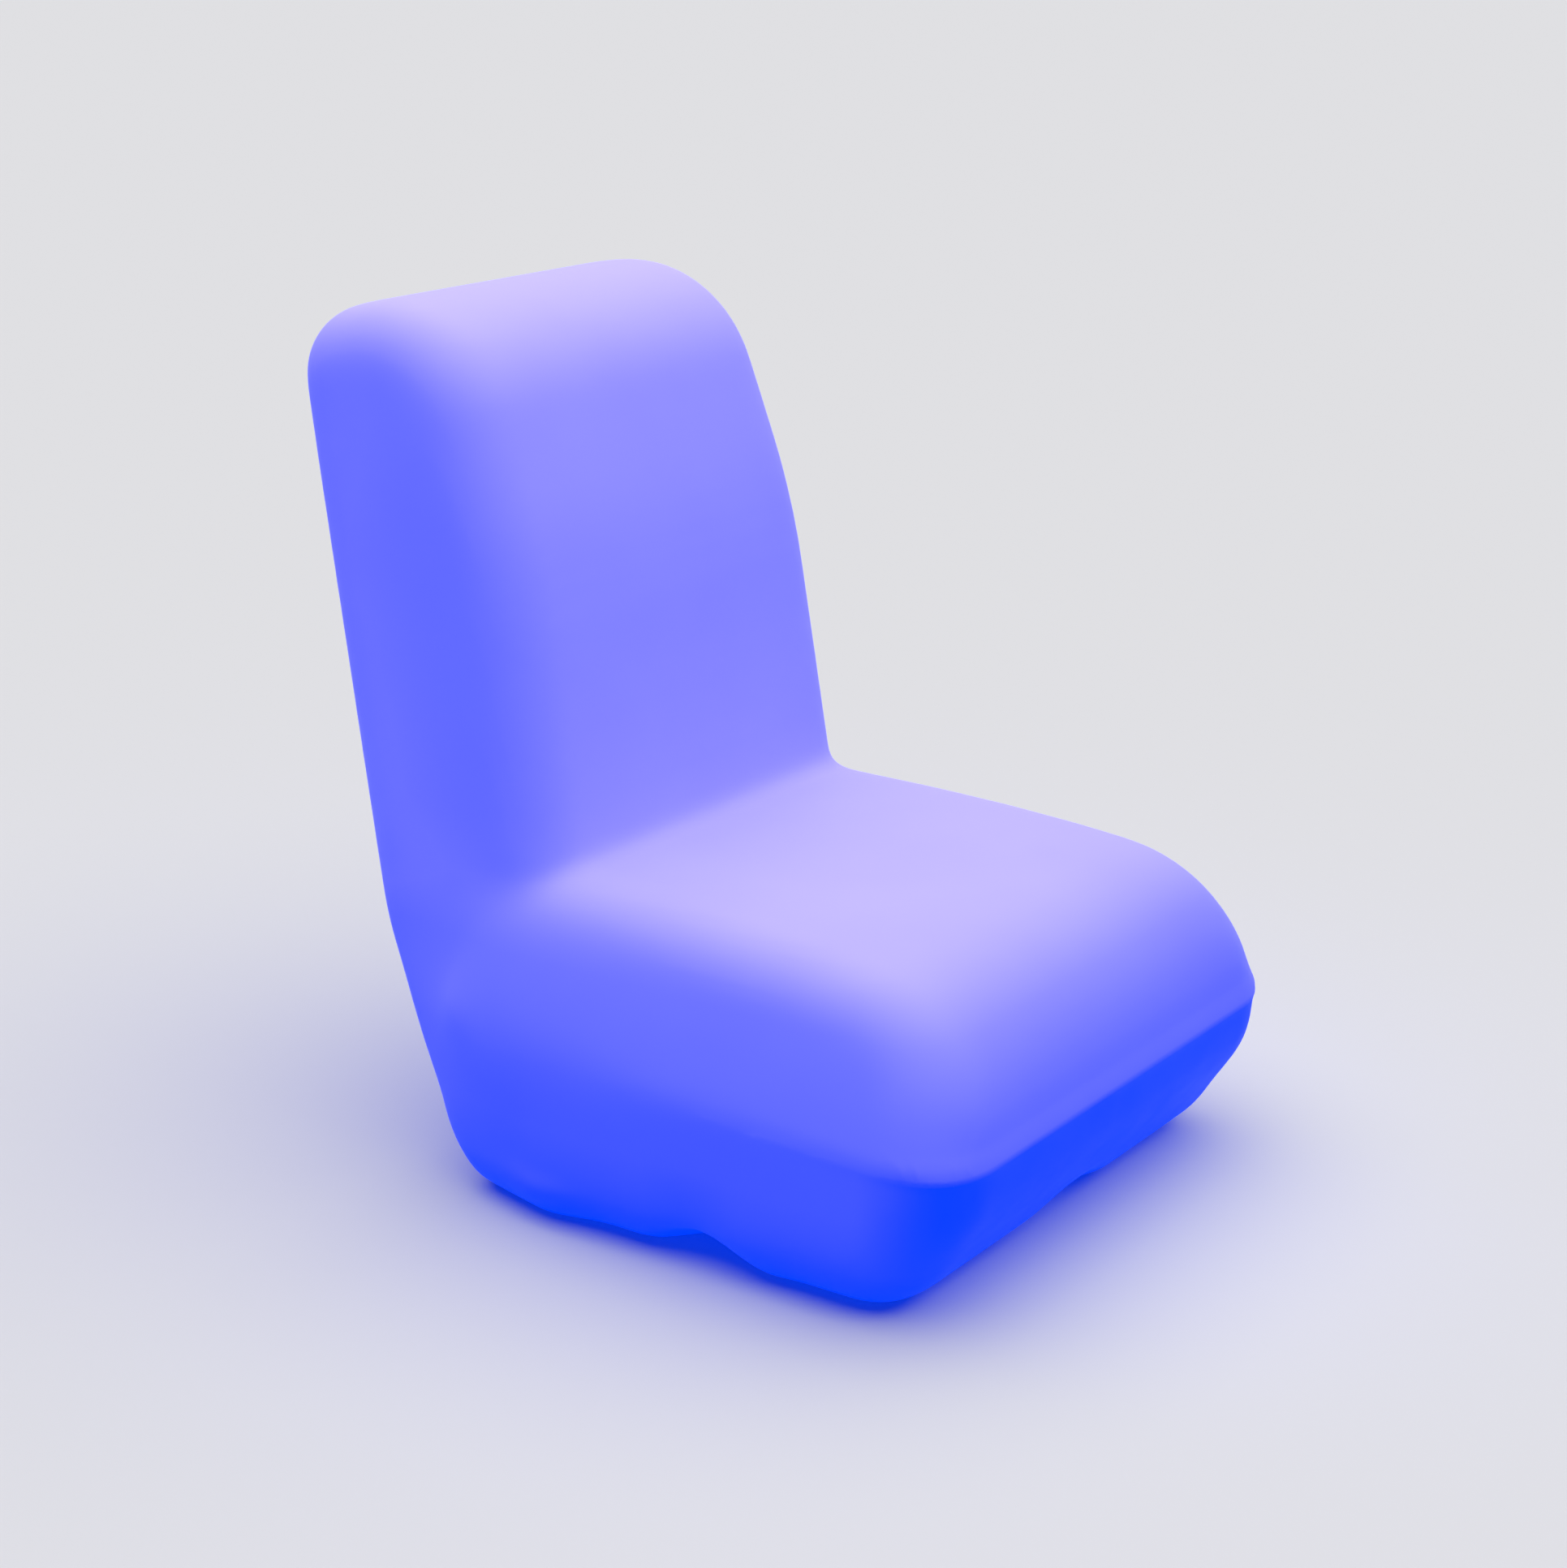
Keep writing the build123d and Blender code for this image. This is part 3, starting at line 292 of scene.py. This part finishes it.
def hip(x, y, z, normal):
    """Strong where the sides of the seat run into the sides of the backrest, but not on its rear."""
    across = rise(x, 0.15, 0.22) * rise(y, -0.08, 0.05)
    return across * rise(z, 0.03, 0.09) * rise(z, 0.29, 0.20) * rise(normal.y, 0.55, 0.25)


def side_ridge(x, y, z, normal):
    """The ridge along each side fades out towards the rear."""
    return rise(x, 0.20, 0.24) * rise(y, -0.28, 0.0) * rise(z, 0.04, 0.08) * rise(z, 0.24, 0.18)


def foot_edges(x, y, z, normal):
    """Round edges of the arches between the feet."""
    return rise(z, 0.003, 0.012) * rise(z, 0.06, 0.03)


NOSE_TIP = -0.335
RIDGE_AT_NOSE = 0.129
RIDGE_CLIMB = math.tan(math.radians(2.5))
RIDGE_BAND = 0.03
RIDGE_REAR = -0.12


def ridge_level(y):
    """Height of the ridge, which climbs a little to the rear."""
    return RIDGE_AT_NOSE + (y - NOSE_TIP) * RIDGE_CLIMB


def near_front_ridge(place, normal):
    """True in a band along the ridge round the front of the seat."""
    return place.y < RIDGE_REAR and abs(place.z - ridge_level(place.y)) < RIDGE_BAND


CREASE_OUT = 0.0042
CREASE_ABOVE = 0.020
CREASE_BELOW = 0.080
CREASE_SNAP = 0.0013
FADE_ABOVE = 2
FADE_BELOW = 0.9


def crease(place, normal):
    """Draws the ridge out to a soft edge and the base in under it, most of all round the nose."""
    strength = rise(place.y, -0.02, -0.30) * (0.45 + 0.55 * rise(-normal.y, 0.3, 0.8))
    above = place.z - ridge_level(place.y)
    if above > 0.0:
        share = max(1.0 - above / CREASE_ABOVE, 0.0) ** FADE_ABOVE
    else:
        share = max(1.0 + above / CREASE_BELOW, 0.0) ** FADE_BELOW
    out = Vector((normal.x, normal.y, 0.0)) * (CREASE_OUT * share * strength)
    on_edge = abs(above) < CREASE_SNAP and strength > 0.0 and abs(normal.z) < 0.9
    return out + Vector((0.0, 0.0, -above if on_edge else 0.0))


def crown_corners(x, y, z, normal):
    """Full round corners at the top of the backrest."""
    return rise(z, 0.55, 0.63)


def nose_corners(x, y, z, normal):
    """Full round top corners at the front of the seat."""
    return rise(x, 0.10, 0.18) * rise(y, -0.16, -0.24) * rise(z, 0.16, 0.21)


def heel_sides(x, y, z, normal):
    """Evens out the base behind the seat."""
    return rise(x, 0.11, 0.17) * rise(y, 0.03, 0.10) * rise(z, 0.015, 0.05) * rise(z, 0.27, 0.18)


def heel_rear(x, y, z, normal):
    """Evens out the rear of the base above its lower edge."""
    return rise(y, 0.03, 0.09) * rise(z, 0.012, 0.03) * rise(z, 0.17, 0.10)


SIDE_ARCH_DROP = 0.002
ARCH_SHIFT = 0.034
SCOOP_DEPTH = 0.007
HEEL_OUT = 0.008
FLANK_OUT = 0.007


def side_arch(place, normal):
    """Keeps the arch under each side low."""
    along = rise(abs(place.y + 0.07), 0.11, 0.04)
    outside = rise(abs(place.x), 0.17, 0.22)
    share = along * outside * rise(place.z, 0.085, 0.04) * rise(-normal.z, 0.0, 0.4)
    return Vector((0.0, 0.0, -SIDE_ARCH_DROP * share))


def arch_forward(place, normal):
    """Moves the arch under each side towards the nose."""
    along = rise(place.y, -0.23, -0.12) * rise(place.y, 0.05, -0.04)
    share = along * rise(abs(place.x), 0.13, 0.18) * rise(place.z, 0.11, 0.07)
    return Vector((0.0, -ARCH_SHIFT * share, 0.0))


def side_scoop(place, normal):
    """Hollows the wall above the arch under each side, so that the feet bulge."""
    along = rise(abs(place.y + 0.104), 0.055, 0.0)
    share = along * rise(abs(place.x), 0.17, 0.20) * rise(place.z, 0.095, 0.02)
    return Vector((-SCOOP_DEPTH * share * math.copysign(1.0, place.x), 0.0, 0.0))


def heel_filler(side):
    """A block that fills the crevice between the feet form and the heel on one side."""
    block = bpy.data.objects.new("heel_filler", shell.data.copy())
    bpy.context.scene.collection.objects.link(block)
    edit(block)
    pick_faces(block, lambda place, normal: place.x * side < 0.12 or place.y < 0.0 or place.z > 0.14)
    bpy.ops.mesh.delete(type="FACE")
    bpy.ops.mesh.select_all(action="SELECT")
    bpy.ops.mesh.convex_hull()
    close(block)
    return block


def heel(place, normal):
    """Fills out the lower edge of the base at the rear."""
    fullness = rise(place.y, 0.0, 0.06) * rise(place.z, 0.075, 0.04) * rise(-normal.z, 0.1, 0.4)
    return normal * (HEEL_OUT * fullness * rise(-normal.z, 0.98, 0.85))


def flank(place, normal):
    """Fills out the rear corners of the base above the heel."""
    corner = rise(0.57 * abs(normal.x) + 0.82 * normal.y, 0.55, 0.9)
    share = corner * rise(place.y, 0.05, 0.10) * rise(place.z, 0.03, 0.06) * rise(place.z, 0.21, 0.10)
    return Vector((normal.x, normal.y, 0.0)) * (FLANK_OUT * share)


def push(piece, move):
    """Moves each point of a piece by what a rule says there, and keeps it above the underside."""
    moves = [move(vertex.co, vertex.normal) for vertex in piece.data.vertices]
    for vertex, step in zip(piece.data.vertices, moves):
        vertex.co += step
        vertex.co.z = max(vertex.co.z, UNDERSIDE)
    piece.data.update()


def upright_round(middle, radius, low, high, flare=0.0, sides=48):
    """A round block that stands upright, flared at its lower end where it cuts a soft mouth."""
    bpy.ops.object.select_all(action="DESELECT")
    place = (middle.x, middle.y, (low + high) / 2)
    bpy.ops.mesh.primitive_cylinder_add(vertices=sides, radius=radius, depth=high - low, location=place)
    block = bpy.context.object
    edit(block)
    if flare:
        pick_faces(block, lambda place, normal: normal.z < -0.9)
        bpy.ops.mesh.extrude_region_move(TRANSFORM_OT_translate={"value": (0.0, 0.0, -2 * flare)})
        grow = 1 + 2 * flare / radius
        bpy.ops.transform.resize(value=(grow, grow, 1.0), center_override=(middle.x, middle.y, low))
    close(block)
    bpy.ops.object.transform_apply(location=True, rotation=True, scale=True)
    return block


def cut(piece, cutters):
    """Takes a set of cutters that lie apart out of a piece."""
    join(cutters)
    finish_modifier(piece, "BOOLEAN", object=cutters[0], operation="DIFFERENCE", solver="EXACT")
    bpy.data.objects.remove(cutters[0])


def in_port(place, normal):
    """True on the faces above the well's ceiling that close the port."""
    slack = 0.0002
    above_ceiling = WELL_DEPTH + slack < place.z < PORT_TOP + slack
    return above_ceiling and within(place, WELL_MIDDLE, PORT_RADIUS + slack)


shell = bpy.data.objects.new("moulded_shell", frame["nodes"]["shell"].data.copy())
bpy.context.scene.collection.objects.link(shell)
edit(shell)
bpy.ops.mesh.select_all(action="SELECT")
bpy.ops.mesh.remove_doubles(threshold=0.00001)
pick_faces(shell, in_recess)
bpy.ops.mesh.delete(type="FACE")
crown = max(face.center.z for face in shell.data.polygons)
pick_faces(shell, lambda place, normal: place.z > crown - 0.001)
bpy.ops.mesh.select_linked()
bpy.ops.mesh.select_all(action="INVERT")
bpy.ops.mesh.delete(type="FACE")
bpy.ops.mesh.select_all(action="SELECT")
bpy.ops.mesh.fill_holes(sides=0)
bpy.ops.mesh.normals_make_consistent(inside=False)
close(shell)
finish_modifier(shell, "REMESH", mode="VOXEL", voxel_size=SKIN_GRAIN)
fillers = [heel_filler(side) for side in (-1, 1)]
join([shell, *fillers])
finish_modifier(shell, "REMESH", mode="VOXEL", voxel_size=SKIN_GRAIN)
ROUNDED = ((hip, 200), (side_ridge, 40), (crown_corners, 25), (nose_corners, 40), (foot_edges, 8))
for weight, repeats in ROUNDED:
    soften(shell, weight, repeats)
finish_modifier(shell, "SMOOTH", factor=0.5, iterations=2)
edit(shell)
pick_faces(shell, near_front_ridge)
bpy.ops.mesh.subdivide(number_cuts=1)
bpy.ops.mesh.vertices_smooth(factor=0.5, repeat=1)
close(shell)
for move in (crease, heel, flank, side_arch, arch_forward, side_scoop):
    push(shell, move)
for weight, repeats in ((heel_sides, 16), (heel_rear, 30)):
    soften(shell, weight, repeats)

RIM = 0.0015
recesses = [upright_round(WELL_MIDDLE, WELL_RADIUS, UNDERSIDE + RIM, WELL_DEPTH, RIM, 128)]
recesses.append(upright_round(VENT_PLACE, VENT_SEAT_RADIUS, UNDERSIDE + RIM / 2, VENT_SEAT_DEPTH, RIM / 2))
for pad_place in PAD_PLACES:
    recesses.append(upright_round(pad_place, PAD_SEAT_RADIUS, UNDERSIDE + RIM / 2, PAD_SEAT_DEPTH, RIM / 2))
cut(shell, recesses)

INSERT_CIRCLE = 0.094
INSERT_RADIUS = 0.0036
INSERT_TOP = 0.0415
PAD_SCREW_RADIUS = 0.00205
PAD_SCREW_TOP = 0.019
VENT_RADIUS = 0.0061
VENT_TOP = 0.0125
INNER_KEPT = 0.6
holes = [upright_round(WELL_MIDDLE, PORT_RADIUS, WELL_DEPTH - RIM, PORT_TOP, 0.0, 96)]
holes.append(upright_round(VENT_PLACE, VENT_RADIUS, VENT_SEAT_DEPTH - RIM, VENT_TOP))
for turn in range(6):
    angle = math.radians(60 * turn)
    insert_place = WELL_MIDDLE + INSERT_CIRCLE * Vector((math.cos(angle), math.sin(angle)))
    holes.append(upright_round(insert_place, INSERT_RADIUS, WELL_DEPTH - RIM, INSERT_TOP, 0.0, 24))
for pad_place in PAD_PLACES:
    holes.append(upright_round(pad_place, PAD_SCREW_RADIUS, PAD_SEAT_DEPTH - RIM, PAD_SCREW_TOP, 0.0, 16))
cut(shell, holes)
edit(shell)
pick_faces(shell, in_port)
bpy.ops.mesh.delete(type="FACE")
close(shell)
shell.vertex_groups.new(name="inner_wall")
finish_modifier(shell, "SOLIDIFY", thickness=WALL, offset=-1.0, shell_vertex_group="inner_wall")
finish_modifier(shell, "DECIMATE", ratio=INNER_KEPT, vertex_group="inner_wall")
bpy.ops.object.shade_smooth_by_angle(angle=SMOOTH_ANGLE)

CROWN_LEVEL = 0.70
# Painted light: the shell's base colour grows whiter with height, so that the upper surfaces look lit from
# above and the feet keep the deep blue of the glow.
PAINTED_LIGHT_BY_HEIGHT = (
    (0.00, 0.00), (0.02, 0.05), (0.045, 0.28), (0.09, 0.43), (0.14, 0.45), (0.215, 0.62),
    (0.265, 0.92), (0.32, 0.84), (0.50, 0.84), (0.62, 0.96), (0.70, 1.00),
)
# A painted lit and a painted shaded copy of the shell's colour; the base colour mixes between them.
SHELL_PAINTED_LIT = (0.63, 0.50, 0.68)
SHELL_PAINTED_SHADE = (0.0, 0.012, 0.40)
SHELL_GLOW = (0.0, 0.044, 0.97)
SHELL_GLOW_THIN = (0.0, 0.054, 1.0)
# Painted shade: below the ridge round the nose the base colour is darkened nearly to the shaded copy.
NOSE_SHADE = 0.95
NOSE_SHADE_FROM = -0.255
NOSE_SHADE_FULL = -0.322
RIDGE_SHADE_FROM = -0.002
RIDGE_SHADE_FULL = 0.004
# Painted light: the base colour is whiter towards the rear, along a line that leans back with height.
REAR_PAINTED_LIGHT = 0.32
REAR_LEAN = 0.30
REAR_FROM = 0.03
REAR_FULL = 0.17


def new_finish(name):
    """A new material, its shader, and a wire to build its pattern from."""
    material = bpy.data.materials.new(name)
    material.use_nodes = True
    return material, material.node_tree.nodes["Principled BSDF"].inputs, Wire(material.node_tree)


lit_shell, shader, wires = new_finish("lit_shell")
spot = wires.node("TexCoord", output="Object")
height = wires.node("SeparateXYZ", {0: spot}, output="Z")
cloud = wires.node("TexNoise", {"Vector": spot, "Scale": 7.0, "Detail": 2.0})
ripple = wires.node("TexNoise", {"Vector": spot, "Scale": 30.0, "Detail": 1.0})
peel = wires.node("TexNoise", {"Vector": spot, "Scale": 420.0, "Detail": 2.0})
depth = wires.node("SeparateXYZ", {0: spot}, output="Y")
stops = [(level / CROWN_LEVEL, (white, white, white)) for level, white in PAINTED_LIGHT_BY_HEIGHT]
# Painted light from above: the whiteness of the base colour by height.
painted_top_light = wires.node("ValToRGB", {"Fac": height * (1 / CROWN_LEVEL)}, stops=stops)
# Painted shade below the ridge, strongest at the nose.
under = wires.node("MapRange", {
    "Value": ridge_level(depth) - height,
    "From Min": RIDGE_SHADE_FROM,
    "From Max": RIDGE_SHADE_FULL,
})
front = wires.node("MapRange", {
    "Value": depth,
    "From Min": NOSE_SHADE_FROM,
    "From Max": NOSE_SHADE_FULL,
}, interpolation_type="SMOOTHSTEP")
# Painted light towards the rear.
rear = wires.node("MapRange", {
    "Value": depth - REAR_LEAN * height,
    "From Min": REAR_FROM,
    "From Max": REAR_FULL,
}, interpolation_type="SMOOTHSTEP")
shade = 1.0 - NOSE_SHADE * under * front
# The base colour is painted light and shade, with a random drift of tone from the cloud.
painted_light_and_tone = painted_top_light * (0.94 + 0.12 * cloud) * shade * (1.0 + REAR_PAINTED_LIGHT * rear)
wires.feed(shader["Base Color"], wires.mix(painted_light_and_tone, SHELL_PAINTED_SHADE, SHELL_PAINTED_LIT))
wires.feed(shader["Roughness"], 0.46 + 0.10 * ripple)
wires.feed(shader["Emission Color"], wires.mix(cloud, SHELL_GLOW, SHELL_GLOW_THIN))
shader["Emission Strength"].default_value = 1.0
shader["Specular IOR Level"].default_value = 0.08
waves = wires.node("Bump", {"Strength": 0.12, "Distance": 0.0010, "Height": ripple})
grain = wires.node("Bump", {"Strength": 0.10, "Distance": 0.0002, "Height": peel, "Normal": waves})
wires.feed(shader["Normal"], grain)
shell.data.materials.clear()
shell.data.materials.append(lit_shell)
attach(shell, "seat")
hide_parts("shell")


# Foot pads and their screws
# Four discs of black rubber with ring treads, sunk in the feet.
# They keep the seat from sliding or marking the floor. One plated screw holds each of them,
# its head below the tread.
def speckled(name, light, dark, size, rough, metal=0.0, depth=0.0):
    """A finish that drifts between two close colours and has a fine grain in its surface."""
    material, shader, wires = new_finish(name)
    spot = wires.node("TexCoord", output="Object")
    drift = wires.node("TexNoise", {"Vector": spot, "Scale": 1.0 / size, "Detail": 4.0})
    fine = wires.node("TexNoise", {"Vector": spot, "Scale": 6.0 / size, "Detail": 2.0})
    wires.feed(shader["Base Color"], wires.mix(drift, dark, light))
    wires.feed(shader["Roughness"], rough - 0.1 + 0.2 * fine)
    shader["Metallic"].default_value = metal
    if depth:
        grain = wires.node("Bump", {"Strength": 0.4, "Distance": depth, "Height": fine})
        wires.feed(shader["Normal"], grain)
    return material


def dress(material, *names):
    """Gives a finish to solids that keep their own shape."""
    for name in names:
        node = frame["nodes"][name]
        node.data.materials.clear()
        node.data.materials.append(material)


pad_rubber = speckled(
    "pad_rubber", (0.045, 0.045, 0.048), (0.022, 0.022, 0.024), 0.004, 0.8, depth=0.00015,
)
screw_steel = speckled(
    "screw_steel", (0.72, 0.72, 0.70), (0.50, 0.50, 0.50), 0.002, 0.32, metal=1.0, depth=0.00002,
)

PAD_RADIUS = 0.022
PAD_HEIGHT = 0.004
PAD_LAND = 0.0032
PAD_GROOVE = 0.0016
PAD_GROOVE_DEPTH = 0.0009
PAD_RINGS = 3
PAD_EDGE = 0.0003
PAD_HEAD_RADIUS = 0.0048
PAD_HEAD_DEPTH = 0.0034
PAD_SHANK_RADIUS = 0.0023
pads = [upright_round(pad_place, PAD_RADIUS, 0.0, PAD_HEIGHT, 0.0, 64) for pad_place in PAD_PLACES]
for pad in pads:
    edit(pad)
    pick_faces(pad, lambda place, normal: normal.z < -0.9)
    for ring in range(PAD_RINGS):
        bpy.ops.mesh.inset(thickness=PAD_LAND)
        bpy.ops.mesh.extrude_region_move(TRANSFORM_OT_translate={"value": (0.0, 0.0, PAD_GROOVE_DEPTH)})
        bpy.ops.mesh.inset(thickness=PAD_GROOVE)
        bpy.ops.mesh.extrude_region_move(TRANSFORM_OT_translate={"value": (0.0, 0.0, -PAD_GROOVE_DEPTH)})
    close(pad)
join(pads)
tread_pads = pads[0]
tread_pads.name = "tread_pads"
finish_modifier(tread_pads, "BEVEL", width=PAD_EDGE, segments=2, limit_method="ANGLE")
sinks = [
    upright_round(pad_place, PAD_HEAD_RADIUS, -PAD_HEAD_DEPTH, PAD_HEAD_DEPTH, 0.0, 32)
    for pad_place in PAD_PLACES
]
cut(tread_pads, sinks)
shanks = [
    upright_round(pad_place, PAD_SHANK_RADIUS, 0.0, 2 * PAD_HEIGHT, 0.0, 24)
    for pad_place in PAD_PLACES
]
cut(tread_pads, shanks)
bpy.ops.object.shade_smooth_by_angle(angle=SMOOTH_ANGLE)
tread_pads.data.materials.clear()
tread_pads.data.materials.append(pad_rubber)
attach(tread_pads, "seat")
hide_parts("foot_pads")
dress(screw_steel, "foot_screws", "collar_screws", "join_screws", "board_screws", "door_pin")

# Vent plug
# A push-in plug of the same milky plastic as the shell.
# It closes the hole that the hollow breathed through in the mould.
plug_white = speckled("plug_white", (0.78, 0.78, 0.80), (0.66, 0.66, 0.70), 0.006, 0.5, depth=0.00008)
dress(plug_white, "vent_plug")

# Collar under the base
# A ring of grey glass-filled plastic on a rubber gasket.
# It is screwed into brass inserts that were moulded into the shell.
# The light unit twists into its three slots.
collar_plastic = speckled(
    "collar_plastic", (0.52, 0.53, 0.55), (0.43, 0.44, 0.46), 0.005, 0.55, depth=0.0001,
)
seal_rubber = speckled(
    "seal_rubber", (0.035, 0.035, 0.036), (0.018, 0.018, 0.019), 0.003, 0.7, depth=0.0001,
)
insert_brass = speckled(
    "insert_brass", (0.80, 0.58, 0.26), (0.62, 0.42, 0.17), 0.002, 0.35, metal=1.0, depth=0.00003,
)
dress(collar_plastic, "lock_collar")
dress(seal_rubber, "collar_seal", "unit_seal", "door_seal")
dress(insert_brass, "collar_inserts")

# Light unit housing
# A cup and a lid of white moulded plastic with a spark-eroded texture.
# Four screws and a rubber ring close it.
# A coin in the slot of the cup turns the whole unit in its collar.
unit_plastic = speckled("unit_plastic", (0.80, 0.80, 0.81), (0.72, 0.72, 0.74), 0.004, 0.52, depth=0.00012)
dress(unit_plastic, "unit_cover", "unit_chassis")

# Light board and dome
# Two rings of small light packages on a white metal-backed board.
# A dome of milky plastic over it spreads their light.
board_white = speckled("board_white", (0.85, 0.85, 0.83), (0.78, 0.78, 0.77), 0.003, 0.4)
dress(board_white, "light_board")
light_package, shader, wires = new_finish("light_package")
spot = wires.node("TexCoord", output="Object")
phosphor = wires.node("TexNoise", {"Vector": spot, "Scale": 900.0})
wires.feed(shader["Base Color"], wires.mix(phosphor, (0.85, 0.80, 0.45), (0.90, 0.86, 0.60)))
shader["Emission Color"].default_value = (0.02, 0.12, 1.0, 1.0)
shader["Emission Strength"].default_value = 2.0
dress(light_package, "lights", "charge_light")
dome_milky, shader, wires = new_finish("dome_milky")
spot = wires.node("TexCoord", output="Object")
haze = wires.node("TexNoise", {"Vector": spot, "Scale": 60.0, "Detail": 3.0})
wires.feed(shader["Base Color"], wires.mix(haze, (0.80, 0.80, 0.84), (0.88, 0.88, 0.90)))
wires.feed(shader["Roughness"], 0.35 + 0.15 * haze)
shader["Emission Color"].default_value = (0.0, 0.06, 1.0, 1.0)
shader["Emission Strength"].default_value = 0.8
dress(dome_milky, "dome")

# Battery
# Two round cells in a shrunk blue sleeve lie in an open tray of black plastic.
# Two bands hold them down.
cell_sleeve = speckled("cell_sleeve", (0.06, 0.20, 0.42), (0.04, 0.15, 0.33), 0.010, 0.3)
inner_plastic = speckled(
    "inner_plastic", (0.06, 0.06, 0.065), (0.04, 0.04, 0.043), 0.004, 0.55, depth=0.0001,
)
dress(cell_sleeve, "battery_cells")
dress(inner_plastic, "battery_tray", "battery_straps")

# Control board
# A small green circuit board on four posts, with its tracks showing through the lacquer.
# Black chips are soldered to it.
board_green, shader, wires = new_finish("board_green")
spot = wires.node("TexCoord", output="Object")
tracks = wires.node("TexWave", {"Vector": spot, "Scale": 160.0, "Distortion": 2.0, "Detail": 0.0})
on_track = wires.maths("GREATER_THAN", tracks, 0.72)
wires.feed(shader["Base Color"], wires.mix(on_track, (0.012, 0.10, 0.035), (0.03, 0.19, 0.06)))
wires.feed(shader["Roughness"], 0.30 + 0.10 * on_track)
track_step = wires.node("Bump", {"Strength": 0.5, "Distance": 0.00004, "Height": on_track})
wires.feed(shader["Normal"], track_step)
chip_black = speckled("chip_black", (0.03, 0.03, 0.032), (0.018, 0.018, 0.02), 0.002, 0.5, depth=0.00004)
dress(board_green, "control_board")
dress(chip_black, "control_chips", "switch", "switch_stem")

# Power button and charging inlet
# A soft grey push button through the cup, and beside it a plated inlet.
# A small hinged door of the same grey covers the inlet, and a rubber plug on it fills it.
# A clear pin shows that it is charging.
button_grey = speckled("button_grey", (0.30, 0.31, 0.33), (0.24, 0.25, 0.27), 0.003, 0.6, depth=0.00008)
dress(button_grey, "power_button", "charge_door")
dress(screw_steel, "charge_socket")
pipe_clear, shader, wires = new_finish("pipe_clear")
spot = wires.node("TexCoord", output="Object")
cast = wires.node("TexNoise", {"Vector": spot, "Scale": 300.0})
wires.feed(shader["Base Color"], wires.mix(cast, (0.86, 0.90, 0.92), (0.93, 0.95, 0.96)))
wires.feed(shader["Roughness"], 0.05 + 0.10 * cast)
shader["Transmission Weight"].default_value = 0.6
dress(pipe_clear, "light_pipe")

# Leads
# Short wires with a soft red sleeve.
# They run from the controller to the cells and up to the light board.
lead_red = speckled("lead_red", (0.50, 0.03, 0.025), (0.38, 0.02, 0.018), 0.003, 0.45)
dress(lead_red, "light_leads", "battery_leads")
